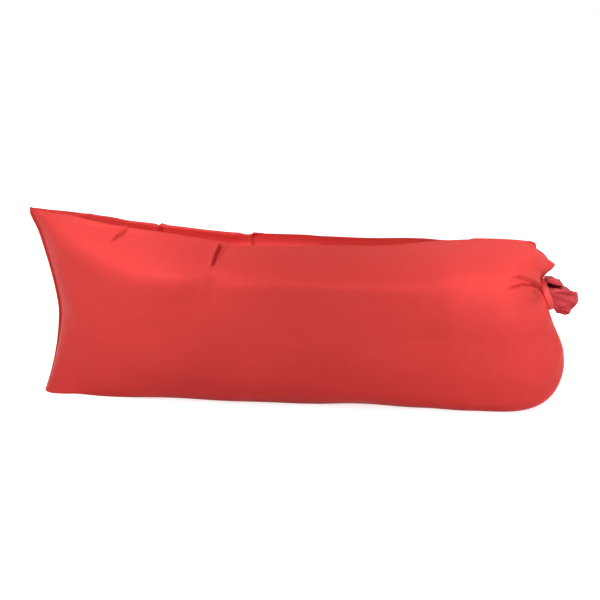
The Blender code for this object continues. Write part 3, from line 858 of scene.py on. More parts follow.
@dataclass
class AirTube:
    """One air tube: its outer shell and the film bladder inside it."""

    side: Side
    shape: TubeShape
    folds: tuple[Fold, ...]
    swellings: tuple[Swelling, ...]
    waves: Waves
    corner: Places
    columns: int = 340
    body_rows: int = 280
    cap_rows: int = 170
    neck_rows: int = 8
    close_rows: tuple[float, ...] = (-0.605, -0.245)
    sharp_crest: float = 0.006
    sharp_until: float = -0.25
    sharp_width: float = 0.035
    wave_start: float = 0.01
    wave_run: float = 0.10
    wave_lean: float = 1.2
    inner_share: float = 0.25
    pucker: float = 0.0010
    pucker_reach: float = 0.045
    gather: float = 0.0032
    gather_reach: float = 0.055
    neck_gather: float = 0.0009
    neck_tuck: tuple[float, float] = (0.008, 0.004)
    spread_limit: float = 0.010
    bladder_least: float = 0.110
    bladder_inset: float = 0.030
    bladder_ends: tuple[float, float] = (0.16, 0.78)
    grid: np.ndarray = field(init=False)
    turn: np.ndarray = field(init=False)

    @property
    def word(self) -> str:
        """The side's name, for the pieces' names."""
        return self.side.name.lower()

    def base_grid(self) -> np.ndarray:
        """Lay out the tube without its folds.

        Returns:
            Points as rows by columns by x, depth and height.
        """
        shape = self.shape
        fine = np.linspace(0.0, shape.body_run, 3000)
        density = 1.0 + 2.0 * np.exp(-fine / 0.08)
        for place_x in self.close_rows:
            density += 3.0 * np.exp(-(((fine + shape.waist_x - place_x) / 0.035) ** 2))
        along = np.cumsum(density) - density[0]
        run = np.interp(np.linspace(0.0, along[-1], self.body_rows), along, fine)
        run = np.unique(np.concatenate([[0.0, 0.004, 0.008], run[run > 0.0095]]))
        body = shape.body(run, self.turn)
        cap = self.square_corner(shape.cap(self.turn, self.cap_rows))[1:-1]
        along = np.linspace(0.0, shape.neck_length, self.neck_rows)
        depths = self.neck_gather * np.minimum(along / 0.004, 1.0)
        neck = np.stack([shape.neck(at, self.turn, gathers=depth) for at, depth in zip(along, depths)])
        back, inward = self.neck_tuck
        tuck = shape.neck(shape.neck_length - back, self.turn, stand=-inward)[None]
        return np.concatenate([body, cap, neck, tuck])

    def square_corner(self, cap: np.ndarray) -> np.ndarray:
        """Bring the top of the gathered end to the corner line that the folded fabric has there.

        Args:
            cap: points of the gathered end.

        Returns:
            The points, with those near the top moved.
        """
        top = cap[:, int(np.argmin(np.abs(self.turn - 1.0)))][:, (0, 2)]
        line = np.concatenate([top[:1], np.array(self.corner), top[-1:]])
        steps = lengths_along(line)
        drawn = read_path(np.linspace(0.0, steps[-1], len(cap)), steps, line)
        relax(drawn)
        share = ease((np.sin(self.shape.angles(self.turn)) - 0.72) / 0.25)[None, :, None]
        result = cap.copy()
        result[:, :, (0, 2)] += share * (drawn - top)[:, None, :]
        return result

    def settle(self) -> None:
        """Draw the folds into the fabric, and keep it off the floor and clear of the other tube."""
        shape, turn = self.shape, self.turn
        plain = self.base_grid()
        to_neck = np.linalg.norm(plain - shape.neck(0.0, turn)[None], axis=2)
        rises = sum(swelling.lay(plain, turn) for swelling in self.swellings)
        grid = plain + grid_normals(plain) * rises[..., None]
        normals = grid_normals(grid)
        moved = sum(fold.lay(grid, normals, turn) for fold in self.folds)
        across = plain[:, :, 2] * self.wave_lean + grid[:, :, 1]
        moved = moved + ripples(plain[:, :, 0], across, self.waves) * self.wave_fade(plain, to_neck)
        moved = moved + self.crest_ridge(plain) + self.seam_puckers(plain) + self.gathers(grid, to_neck)
        moved[:3] = 0.0
        moved[-self.neck_rows - 1 :] = 0.0
        grid = grid + normals * moved[:, :, None]
        grid[:, :, 2] = np.maximum(grid[:, :, 2], 0.0)
        grid[3:, :, 1] = np.maximum(grid[3:, :, 1], shape.tube_spacing)
        grid[:, :, 1] = np.minimum(grid[:, :, 1], shape.tube_width + self.spread_limit)
        self.grid = grid

    def wave_fade(self, grid: np.ndarray, to_neck: np.ndarray) -> np.ndarray:
        """Share of its long waves that the fabric shows, with none at the seam and the neck.

        Args:
            grid: the tube's points.
            to_neck: distance of each point from the neck's ring.

        Returns:
            The shares.
        """
        x, shape = grid[:, :, 0], self.shape
        past_seam = ease((x - shape.waist_x - self.wave_start) / self.wave_run)
        before_neck = ease((shape.neck_x - x) / self.wave_run - 0.05) * ease(to_neck / 0.05)
        return past_seam * before_neck * np.where(self.turn <= 1.0, 1.0, self.inner_share)[None, :]

    def crest_ridge(self, grid: np.ndarray) -> np.ndarray:
        """The sharp ridge along the crest near the ear.

        Args:
            grid: the tube's points.

        Returns:
            Distances along the normals.
        """
        x = grid[:, :, 0]
        crest = np.exp(-(((self.turn[None, :] - 1.0) / self.sharp_width) ** 2))
        start = ease((x - self.shape.head_x - 0.06) / 0.15)
        return self.sharp_crest * crest * (1.0 - ease((x - self.sharp_until) / 0.05)) * start

    def seam_puckers(self, grid: np.ndarray) -> np.ndarray:
        """The small puckers that the stitched seam draws into the fabric.

        Args:
            grid: the tube's points.

        Returns:
            Distances along the normals.
        """
        x, height, shape = grid[:, :, 0], grid[:, :, 2], self.shape
        from_edge = np.maximum(x - shape.waist_x + shape.edge_reach(height) - shape.seam_tab, 0.0)
        waves = np.sin(height * 190.0) + 0.7 * np.sin(height * 311.0 + 1.0)
        return self.pucker * waves * ease(from_edge / 0.02) * np.exp(-from_edge / self.pucker_reach)

    def gathers(self, grid: np.ndarray, to_neck: np.ndarray) -> np.ndarray:
        """Small folds that run out from the neck over the rounded end.

        Args:
            grid: the tube's points.
            to_neck: distance of each point from the neck's ring.

        Returns:
            Distances along the normals.
        """
        turn = self.turn[None, :]
        waves = (
            np.sin(turn * math.pi * 22.0)
            - 0.8
            + 0.8 * np.sin(turn * math.pi * 13.0 + 2.0)
            + 0.6 * np.sin(turn * math.pi * 37.0 + 0.7)
        )
        fade = np.exp(-to_neck / self.gather_reach) * ease(to_neck / 0.012)
        return self.gather * waves * fade * (grid[:, :, 0] > self.shape.neck_x - self.shape.round_end_length)

    def world(self, grid: np.ndarray) -> np.ndarray:
        """Turn depths into places on the tube's side.

        Args:
            grid: points with x, depth and height last.

        Returns:
            The same points with x, y and z last.
        """
        return grid * np.array([1.0, float(self.side.value), 1.0])

    def closed_mesh(self, name: str, grid: np.ndarray) -> bpy.types.Object:
        """Make a closed bag from a grid: sewn flat at its first row, capped at its last.

        Args:
            name: the piece's name.
            grid: its points.

        Returns:
            The object.
        """
        rows, columns = grid.shape[:2]
        faces = ring_faces(rows, columns)
        for low, high in zip(range(columns // 2), range(1, columns // 2 + 1)):
            corners = (low, high, (columns - high) % columns, (columns - low) % columns)
            faces.append(tuple(dict.fromkeys(corners)))
        faces.append(tuple(range((rows - 1) * columns, rows * columns)))
        return mesh_piece(name, self.world(grid).reshape(-1, 3), faces)

    def build_shell(self, finish: bpy.types.Material) -> None:
        """Make the outer shell.

        Args:
            finish: its material.
        """
        obj = self.closed_mesh(self.word + "_tube_fabric", self.grid)
        place(obj, finish, "shell_fabric", nodes=(self.word + "_shell",))

    def build_bladder(self, finish: bpy.types.Material) -> None:
        """Make the film bladder, which is drawn in from the shell towards the wall across from it.

        Args:
            finish: its material.
        """
        plain = self.base_grid()
        first = int(np.argmax(plain[:, :, 1].max(axis=1) > self.bladder_least))
        last = len(plain) - self.neck_rows - self.cap_rows // 2
        plain = plain[np.unique(np.append(np.arange(first, last, 4), last))]
        across = plain[:, -np.arange(plain.shape[1])] - plain
        gap = np.maximum(np.linalg.norm(across, axis=2, keepdims=True), 1e-6)
        grid = plain + across * np.minimum(self.bladder_inset / gap, 0.5)
        low, high = self.bladder_ends
        outside = np.where((self.turn >= low) & (self.turn <= high))[0][::3]
        grid = grid[:, np.concatenate([outside, -outside[::-1]])]
        grid[:, :, 2] = np.maximum(grid[:, :, 2], self.bladder_inset)
        obj = self.closed_mesh(self.word + "_tube_bladder", grid)
        place(obj, finish, "film", nodes=(self.word + "_liner",))

    def build(self, fabric: bpy.types.Material, film: bpy.types.Material) -> None:
        """Make both pieces of the tube.

        Args:
            fabric: the shell's material.
            film: the bladder's material.
        """
        self.turn = self.shape.even_turns(self.columns)
        self.settle()
        self.build_shell(fabric)
        self.build_bladder(film)


@dataclass
class HeadSeam:
    """The binding folded over the flat seam at the head end, with its stitching."""

    shape: TubeShape
    reach: float = 0.007
    nose_out: float = 0.00088
    nose_in: float = 0.0002
    nose_back: float = 0.0003
    half_in: float = 0.00145
    half_out: float = 0.00225
    stitch_back: float = 0.0045
    stitch_length: float = 0.0034
    stitch_gap: float = 0.0016
    thread: float = 0.0006
    stations: int = 150

    def edge(self, back: float) -> np.ndarray:
        """Points along the seam's edge.

        Args:
            back: how far in from the edge they lie.

        Returns:
            The points, from the floor to the ear.
        """
        turn = np.linspace(0.0, 1.0, self.stations)
        ring = self.shape.body(np.array([0.0]), turn)[0]
        return np.stack([ring[:, 0] + back, np.zeros(len(ring)), ring[:, 2]], axis=1)

    def build(self, tape: bpy.types.Material, thread: bpy.types.Material) -> None:
        """Make the binding and its two rows of stitches.

        Args:
            tape: the binding's material.
            thread: the thread's material.
        """
        middle, thick = (self.half_in + self.half_out) / 2, (self.half_out - self.half_in) / 2
        bend = np.linspace(math.pi / 2, 3 * math.pi / 2, 7)
        round_out = np.stack([self.nose_out * np.cos(bend), self.half_out * np.sin(bend)], axis=1)
        round_in = np.stack([self.nose_in * np.cos(bend), self.half_in * np.sin(bend)], axis=1)[::-1]
        nose = np.array([-self.nose_back, 0.0])
        lip = np.array([[self.reach, -thick], [self.reach + thick, 0.0], [self.reach, thick]])
        aside = np.array([0.0, middle])
        outline = np.concatenate([round_out + nose, lip - aside, round_in + nose, lip + aside])
        edge = self.edge(0.0)
        grid = edge[:, None, :] + np.pad(outline, ((0, 0), (0, 1)))[None]
        obj = mesh_piece("head_seam_binding", grid.reshape(-1, 3), tube_faces(len(edge), len(outline)))
        place(obj, tape, "webbing", nodes=("end_seam_binding",))
        for side in Side:
            line = self.edge(self.stitch_back)[2:-2]
            line[:, 1] = side.value * self.half_out
            ups = np.tile(np.array([0.0, float(side.value), 0.0]), (len(line), 1))
            name = f"head_seam_stitches_{side.name.lower()}"
            row = stitches(name, line, ups, self.stitch_length, self.stitch_gap, self.thread)
            place(row, thread, "webbing")


@dataclass
class TroughSeam:
    """The tape that joins the two tubes under the trough."""

    shape: TubeShape
    height: float = 0.024
    inset: float = 0.003
    half: float = 0.0007
    stations: int = 90
    start_run: float = 0.026

    def build(self, tape: bpy.types.Material) -> None:
        """Make the tape.

        Args:
            tape: its material.
        """
        turn = np.array([17.0 / 12.0])
        run = np.linspace(self.start_run, self.shape.body_run, self.stations)
        path = self.shape.body(run, turn)[:, 0]
        path = np.concatenate([path, self.shape.cap(turn, 40)[1:26, 0]])
        path[:, 1] = 0.0
        path[:, 2] -= self.inset + self.height / 2
        path[:, 2] += 0.0012 * np.sin(path[:, 0] * 60.0) + 0.0008 * np.sin(path[:, 0] * 97.0 + 1.0)
        ups = np.tile(np.array([0.0, 1.0, 0.0]), (len(path), 1))
        obj = sweep("trough_seam_tape", path, ups, rounded_band(self.height, 2 * self.half))
        place(obj, tape, "webbing", nodes=("centre_seam_tape",))


@dataclass
class GatheredMouth:
    """The open edges of both shells beyond the strap, folded to and fro, and the hem along them."""

    shape: TubeShape
    folds: int = 10
    points: int = 16
    rows: int = 34
    ply: float = 0.0022
    hem_ply: float = 0.0029
    half_width: float = 0.046
    above: float = 0.056
    below: float = 0.058
    start: float = 0.0185
    hem_share: float = 0.88
    flap_level: float = 0.58
    flap_gap: float = 0.0045
    top_rise: float = 0.019
    reaches: Profile = Profile((
        (-2.15, 0.9430), (-2.0, 0.9480), (-1.75, 0.9500), (-1.5, 0.9420), (-1.25, 0.9290), (-1.0, 0.9230),
        (0.0, 0.9220), (1.0, 0.9220), (3.0, 0.9360), (5.0, 0.9380), (6.0, 0.9320), (7.0, 0.9270),
        (7.6, 0.9200), (8.2, 0.9020), (9.0, 0.8990), (10.15, 0.8950),
    ))

    def centre_line(self, share: float, u: np.ndarray) -> np.ndarray:
        """The middle of the cloth at one distance from the neck.

        Args:
            share: how far from the neck to the edge.
            u: places along the cloth, counted in folds from the lowest.

        Returns:
            Points with x, y and z last.
        """
        shape = self.shape
        wide = 0.75 * math.sin(math.pi / 2 * min(share * 3.0 + 0.4, 1.0))
        level = np.clip((u + wide * np.sin(2.0 * math.pi * u) / (2.0 * math.pi)) / self.folds, 0.0, 1.0)
        flap = np.maximum(-u - 0.92, 0.0)
        level = np.where(u < 0.0, self.flap_level * flap**1.3, level)
        swing = np.tanh(1.7 * np.cos(math.pi * np.maximum(u, -1.0))) / math.tanh(1.7)
        spread = ease(share / 0.85)
        oval = np.sqrt(np.maximum(1.0 - ((2.0 * level - 1.0) * 0.9) ** 2, 0.0))
        half = blend((shape.neck_half_width - 0.008) * oval, self.half_width, spread)
        uneven = 1.0 + 0.10 * np.sin(u * 1.9 + 0.6) + 0.05 * np.sin(u * 4.3 + 2.0)
        tucked = np.where((u > 0.2) & (u < 5.8) & (swing < 0.0), self.flap_gap, 0.0)
        y = swing * (half * blend(1.0, np.minimum(uneven, 1.08), spread) - tucked)
        root = shape.neck_place(self.start, 0.0, (shape.neck_half_height - 0.006) * (2.0 * level - 1.0))
        end_z = shape.neck_z + blend(-self.below + 0.003, self.above - 0.003, level)
        x = blend(root[:, 0], self.reaches.at(u), share)
        z = blend(root[:, 2], end_z, ease(share * 3.2))
        z = z + self.top_rise * ease(share / 0.14) * (1.0 - share) * ease((level - 0.6) / 0.4)
        long_folds = 0.0026 * np.sin(u * 9.0 + 5.0 * share) + 0.0020 * np.sin(u * 15.0 - 8.0 * share + 2.0)
        y = y + long_folds * ease(share * 4.0) * np.sign(y)
        hollow = np.exp(-(((level - 0.30) / 0.10) ** 2)) * math.exp(-(((share - 0.30) / 0.28) ** 2))
        y = y + np.where(u < -0.92, 0.0055 * hollow, 0.0)
        z = z + 0.0020 * np.sin(share * 9.0 + u * 2.2) * ease(share * 2.0) * ease((1.0 - share) * 6.0 + 0.3)
        return np.stack([x, y, z], axis=1)

    def band(self, name: str, shares: np.ndarray, ply: float) -> bpy.types.Object:
        """Make the folded cloth between two distances from the neck.

        Args:
            name: the piece's name.
            shares: the distances, as shares of the way to the edge.
            ply: the cloth's thickness.

        Returns:
            The object.
        """
        u = np.linspace(-2.12, self.folds + 0.12, (self.folds + 2) * self.points + 1)
        rings = []
        for share in shares:
            line = self.centre_line(float(share), u)
            ahead = unit(np.gradient(line[:, 1:], axis=0))
            out = np.stack([np.zeros(len(u)), -ahead[:, 1], ahead[:, 0]], axis=1)
            ends = np.minimum(np.minimum(u - u[0], u[-1] - u) / 0.25 + 0.25, 1.0)[:, None]
            rings.append(np.concatenate([line + out * ply / 2 * ends, (line - out * ply / 2 * ends)[::-1]]))
        columns = len(rings[0])
        faces = ring_faces(len(rings), columns)
        for first in (0, (len(rings) - 1) * columns):
            last = first + columns - 1
            faces += [(first + k, first + k + 1, last - 1 - k, last - k) for k in range(len(u) - 1)]
        return mesh_piece(name, np.concatenate(rings), faces)

    def build(self, fabric: bpy.types.Material, tape: bpy.types.Material) -> None:
        """Make the pleats and their hem.

        Args:
            fabric: the pleats' material.
            tape: the hem's material.
        """
        pleats = self.band("mouth_pleated_fabric", np.linspace(0.0, self.hem_share, self.rows), self.ply)
        place(pleats, fabric, "shell_fabric", nodes=("mouth_pleats",))
        hem = self.band("mouth_edge_hem", np.linspace(self.hem_share + 0.0008, 1.0, 6), self.hem_ply)
        place(hem, tape, "webbing", nodes=("mouth_hem",))


@dataclass
class NeckStrap:
    """The webbing strap round the neck, and the short strap that carries the buckle's plug."""

    shape: TubeShape
    width: float = 0.020
    thick: float = 0.0016
    crown: float = 0.0016
    fit_gap: float = 0.0003
    neck_pleat: float = 0.0012
    sewn_tail: float = 0.014
    buckle_depth: float = 0.009
    buckle_above_neck: float = 0.006
    buckle_along: float = 0.016
    socket_length: float = 0.034
    socket_bar: float = 0.003
    slot_height: float = 0.004
    plug_base: float = 0.014
    plug_bar: float = 0.0035
    stitch_in: float = 0.0022
    stitch_length: float = 0.0030
    stitch_gap: float = 0.0014
    thread: float = 0.0006

    @property
    def buckle_centre(self) -> float:
        """Distance of the buckle's middle from the plane between the tubes."""
        return self.shape.neck_half_width + self.neck_pleat + self.fit_gap + self.buckle_depth / 2

    @property
    def bar_clear(self) -> float:
        """How far the webbing's middle stands from the buckle's middle where it passes a bar."""
        return self.buckle_depth / 2 + self.fit_gap + self.thick / 2

    @property
    def stand(self) -> float:
        """How far the webbing's middle stands off the neck."""
        return self.neck_pleat + self.fit_gap + self.thick / 2

    def round_neck(self, start: float, end: float, side: Side, count: int) -> np.ndarray:
        """Places round the neck, as pairs across it and up its face.

        Args:
            start: first angle in degrees, -90 at the bottom and 90 at the top.
            end: last angle.
            side: the side of the neck.
            count: how many places.

        Returns:
            The pairs.
        """
        angle = np.radians(np.linspace(start, end, count))
        share = np.maximum(np.cos(angle), 0.0) ** self.shape.neck_power
        across = blend(self.shape.neck_ridge, self.shape.neck_half_width, share)
        up = (self.shape.neck_half_height + self.stand) * np.sin(angle)
        return np.stack([side.value * (across + self.stand * np.cos(angle)), up], axis=1)

    def strap_end(self, bar_far: float, slot_middle: float, toward: np.ndarray, facing: float) -> np.ndarray:
        """Places of a strap end: sewn tail, round the buckle's bar through its slot, and away.

        Args:
            bar_far: height of the bar's far edge.
            slot_middle: height of the slot's middle.
            toward: the place that the strap goes to.
            facing: 1 where the strap leaves upwards, -1 downwards.

        Returns:
            The pairs.
        """
        lift = facing * self.thick
        start = np.array([self.buckle_centre - self.bar_clear, bar_far + lift])
        away = unit(toward - start)
        aside = np.array([-away[1], away[0]]) * -facing
        tail = start + aside * (self.thick + 2 * self.fit_gap) + away * self.thick
        outer, inner = self.buckle_centre + self.bar_clear, self.buckle_centre - self.bar_clear
        return np.array(
            [
                tail + away * self.sewn_tail,
                tail,
                [outer, bar_far + lift],
                [outer, slot_middle + lift],
                [outer - self.thick, slot_middle],
                [inner + self.thick, slot_middle],
                [inner, slot_middle + lift],
                start,
            ]
        )

    def ribbon(
        self, name: str, path: np.ndarray, crown: float
    ) -> tuple[bpy.types.Object, np.ndarray, np.ndarray]:
        """Lay webbing along a path in the neck's own plane.

        Args:
            name: the piece's name.
            path: pairs across the neck and up its face.
            crown: how far the webbing's middle stands proud on its outer side.

        Returns:
            The object, its path and its outward directions.
        """
        ahead = unit(np.gradient(path, axis=0))
        out = np.stack([-ahead[:, 1], ahead[:, 0]], axis=1)
        line = self.shape.neck_place(self.buckle_along, path[:, 0], path[:, 1])
        origin = self.shape.neck_place(self.buckle_along, np.zeros(1), np.zeros(1))[0]
        ups = self.shape.neck_place(self.buckle_along, out[:, 0], out[:, 1]) - origin
        outline = rounded_band(self.width, self.thick)
        fill = np.linspace(self.width / 2 - self.thick, -self.width / 2 + self.thick, 9)
        top = np.stack([fill, self.thick / 2 + crown * (1.0 - (2.0 * fill / self.width) ** 2)], axis=1)
        low = np.stack([-fill, np.full(len(fill), -self.thick / 2)], axis=1)
        half = len(outline) // 2
        outline = np.concatenate([outline[:half], top, outline[half:], low])
        return sweep(name, line, ups, outline), line, ups

    def build(self, tape: bpy.types.Material, thread: bpy.types.Material) -> None:
        """Make both straps and their stitching.

        Args:
            tape: the webbing's material.
            thread: the thread's material.
        """
        low_bar = self.buckle_above_neck - self.socket_length
        low_slot = low_bar + self.socket_bar + self.slot_height / 2
        high_bar = self.buckle_above_neck + self.fit_gap + self.plug_base
        high_slot = high_bar - self.plug_bar - self.slot_height / 2
        under = self.round_neck(-55.0, -90.0, Side.FAR, 14)
        around = self.round_neck(-90.0, 90.0, Side.NEAR, 72)
        loop = soften(np.concatenate([self.strap_end(low_bar, low_slot, under[0], -1.0), under]), 5)
        path = np.concatenate([loop, around[1:]])
        strap, line, ups = self.ribbon("neck_webbing_strap", path[::-1], self.crown)
        place(strap, tape, "webbing", nodes=("neck_strap",))
        over = self.round_neck(45.0, 90.0, Side.FAR, 16)
        start = self.strap_end(high_bar, high_slot, over[0], 1.0)
        short, _, _ = self.ribbon("plug_webbing_strap", soften(np.concatenate([start, over]), 5), 0.0)
        place(short, tape, "webbing", body=None, nodes=("plug_strap",))
        bar = self.shape.neck_place(self.buckle_along, self.buckle_centre, high_bar)
        seam = self.shape.neck_place(self.buckle_along, 0.0, self.shape.neck_half_height)
        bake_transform(short)
        seen = slice(2, 70)
        axis = self.shape.neck_place(1.0, 0.0, 0.0) - self.shape.neck_place(0.0, 0.0, 0.0)
        rise = self.thick / 2 + self.crown * (1.0 - (1.0 - 2.0 * self.stitch_in / self.width) ** 2)
        aside = axis * (self.width / 2 - self.stitch_in)
        for word, sign in (("inner", -1.0), ("outer", 1.0)):
            row_path = line[seen] + aside * sign + ups[seen] * rise
            name = f"neck_strap_stitches_{word}"
            row = stitches(name, row_path, ups[seen], self.stitch_length, self.stitch_gap, self.thread)
            place(row, thread, "webbing")


def soften(path: np.ndarray, cuts: int) -> np.ndarray:
    """Round the corners of a path of pairs.

    Args:
        path: the pairs.
        cuts: how many points replace each corner, less one.

    Returns:
        The rounded path, with the same ends.
    """
    points = [path[0]]
    share = np.linspace(0.0, 1.0, cuts)[:, None]
    for before, corner, after in zip(path, path[1:], path[2:]):
        near, far = blend(corner, before, 0.35), blend(corner, after, 0.35)
        points.extend(blend(blend(near, corner, share), blend(corner, far, share), share))
    points.append(path[-1])
    return np.array(points)


# Finishes

WEAR_STEP = ((0.32, 0.0), (0.70, 1.0))


class Nodes:
    """Short ways to add nodes and links to a node tree."""

    def __init__(self, tree: bpy.types.NodeTree) -> None:
        """Keep the tree that nodes are added to."""
        self.tree = tree

    def feed(self, node: bpy.types.Node, values: Values) -> None:
        """Join or set some of a node's inputs.

        Args:
            node: the node.
            values: for each input's name or place, a socket to join to it or a constant to set on it.
        """
        for key, value in values.items():
            if isinstance(value, Socket):
                self.tree.links.new(value, node.inputs[key])
            else:
                node.inputs[key].default_value = value

    def add(self, kind: str, values: Values | None = None, **settings: object) -> bpy.types.Node:
        """Add a node.

        Args:
            kind: the node's type.
            values: what its inputs get, as feed takes it.
            **settings: its properties.

        Returns:
            The node.
        """
        node = self.tree.nodes.new(kind)
        for name, value in settings.items():
            setattr(node, name, value)
        self.feed(node, values or {})
        return node

    def math(self, operation: str, first: object, second: object = 0.0, clamp: bool = False) -> Socket:
        """Add a Math node.

        Args:
            operation: what it works out.
            first: a socket or a number.
            second: a socket or a number.
            clamp: whether the result is held between 0 and 1.

        Returns:
            Its result.
        """
        values = {0: first, 1: second}
        return self.add("ShaderNodeMath", values, operation=operation, use_clamp=clamp).outputs[0]

    def times(self, first: object, second: object) -> Socket:
        """Multiply two sockets or numbers."""
        return self.math("MULTIPLY", first, second)

    def plus(self, first: object, second: object, clamp: bool = False) -> Socket:
        """Add two sockets or numbers."""
        return self.math("ADD", first, second, clamp)

    def about(self, mask: Socket, middle: float, span: float) -> Socket:
        """Let a value vary about its middle with a mask from 0 to 1."""
        return self.plus(self.times(mask, span), middle - span / 2)

    def object_place(self, scale: Socket) -> Socket:
        """Give the place on the object, scaled by a socket."""
        where = self.add("ShaderNodeTexCoord").outputs["Object"]
        return self.add("ShaderNodeVectorMath", {0: where, "Scale": scale}, operation="SCALE").outputs[0]

    def noise(self, vector: Socket, scale: float, detail: float, rough: float) -> Socket:
        """Add a Noise Texture node.

        Args:
            vector: where it is read.
            scale: its scale.
            detail: its detail.
            rough: its roughness.

        Returns:
            Its value.
        """
        values = {"Vector": vector, "Scale": scale, "Detail": detail, "Roughness": rough}
        return self.add("ShaderNodeTexNoise", values).outputs["Fac"]

    def stretch(self, vector: Socket, scale: Vector3, turn: float) -> Socket:
        """Add a Mapping node.

        Args:
            vector: what it changes.
            scale: its scale on each axis.
            turn: its turn about Y, in radians.

        Returns:
            The changed vector.
        """
        values = {"Vector": vector, "Scale": scale, "Rotation": (0.0, turn, 0.0)}
        return self.add("ShaderNodeMapping", values).outputs["Vector"]

    def smooth_step(self, value: Socket, ends: Places) -> Socket:
        """Add a Map Range node.

        Args:
            value: what it reads.
            ends: two pairs of a value and the result that it gives.

        Returns:
            Its result.
        """
        (low, to_low), (high, to_high) = ends
        values = {"Value": value, "From Min": low, "From Max": high, "To Min": to_low, "To Max": to_high}
        return self.add("ShaderNodeMapRange", values, interpolation_type="SMOOTHSTEP").outputs["Result"]

    def mixed(self, share: Socket, first: Vector3, second: Vector3) -> Socket:
        """Mix two colours by a socket."""
        values = {0: share, 6: (*first, 1.0), 7: (*second, 1.0)}
        return self.add("ShaderNodeMix", values, data_type="RGBA").outputs[2]


def new_paint(name: str) -> tuple[bpy.types.Material, Nodes, bpy.types.Node]:
    """Start a material.

    Args:
        name: its name.

    Returns:
        The material, what adds nodes to it, and its main shader.
    """
    material = bpy.data.materials.new(name)
    material.use_nodes = True
    return material, Nodes(material.node_tree), material.node_tree.nodes["Principled BSDF"]


def new_group(
    name: str, inputs: dict[str, float], outputs: tuple[str, ...]
) -> tuple[bpy.types.NodeTree, Nodes]:
    """Start a shader node group with number sockets.

    Args:
        name: its name.
        inputs: its inputs and their usual values.
        outputs: its outputs.

    Returns:
        The group, and what adds nodes to it.
    """
    group = bpy.data.node_groups.new(name, "ShaderNodeTree")
    for socket, value in inputs.items():
        made = group.interface.new_socket(socket, in_out="INPUT", socket_type="NodeSocketFloat")
        made.default_value = value
    for socket in outputs:
        group.interface.new_socket(socket, in_out="OUTPUT", socket_type="NodeSocketFloat")
    return group, Nodes(group)


def weave_group() -> bpy.types.NodeTree:
    """Plain weave: threads over and under, fine enough to show only close up.

    Returns:
        The group, with the weave's height and how its threads catch colour.
    """
    group, nodes = new_group("plain_weave", {"Threads": 2200.0}, ("Height", "Thread"))
    threads = nodes.add("NodeGroupInput").outputs["Threads"]
    where = nodes.add("ShaderNodeTexCoord").outputs
    split = nodes.add("ShaderNodeSeparateXYZ", {0: where["Object"]}).outputs
    facing = nodes.add("ShaderNodeSeparateXYZ", {0: where["Normal"]}).outputs["Z"]
    flat = nodes.math("GREATER_THAN", nodes.math("ABSOLUTE", facing), 0.7)
    steep = nodes.math("SUBTRACT", 1.0, flat)
    upward = nodes.plus(nodes.times(split["Y"], flat), nodes.times(split["Z"], steep))
    warp, weft = (nodes.math("SINE", nodes.times(way, threads)) for way in (split["X"], upward))
    crossing = nodes.times(warp, weft)
    halves = [nodes.times(nodes.math("ABSOLUTE", thread), 0.5) for thread in (warp, weft)]
    height = nodes.plus(nodes.plus(*halves), nodes.times(crossing, 0.25))
    tone = nodes.plus(nodes.times(crossing, 0.5), 0.5, clamp=True)
    nodes.add("NodeGroupOutput", {"Height": height, "Thread": tone})
    return group


def crumple_group() -> bpy.types.NodeTree:
    """Shallow soft creases of handled cloth.

    Returns:
        The group, with the creases' height.
    """
    group, nodes = new_group("soft_creases", {"Size": 9.0}, ("Height",))
    scaled = nodes.object_place(nodes.add("NodeGroupInput").outputs["Size"])
    long_folds = nodes.noise(nodes.stretch(scaled, (0.5, 1.0, 1.3), 0.35), 1.0, 3.0, 0.45)
    cross_folds = nodes.noise(nodes.stretch(scaled, (1.6, 1.0, 0.6), -0.5), 1.3, 2.0, 0.4)
    sharp = nodes.math("ABSOLUTE", nodes.math("SUBTRACT", long_folds, 0.5))
    sharp = nodes.math("POWER", nodes.times(sharp, 2.0), 0.7)
    nodes.add("NodeGroupOutput", {"Height": nodes.plus(sharp, nodes.times(cross_folds, 0.6))})
    return group


def wear_group() -> bpy.types.NodeTree:
    """Faint, broad signs of handling and dust.

    Returns:
        The group, with masks from 0 to 1.
    """
    group, nodes = new_group("handling_wear", {"Broad": 2.6, "Fine": 34.0}, ("Broad", "Fine"))
    sizes = nodes.add("NodeGroupInput").outputs
    masks = {
        name: nodes.smooth_step(nodes.noise(nodes.object_place(sizes[name]), 1.0, detail, 0.55), WEAR_STEP)
        for name, detail in (("Broad", 3.0), ("Fine", 5.0))
    }
    nodes.add("NodeGroupOutput", masks)
    return group


@dataclass(frozen=True)
class Effects:
    """The node groups that the finishes share."""

    weave: bpy.types.NodeTree
    creases: bpy.types.NodeTree
    wear: bpy.types.NodeTree


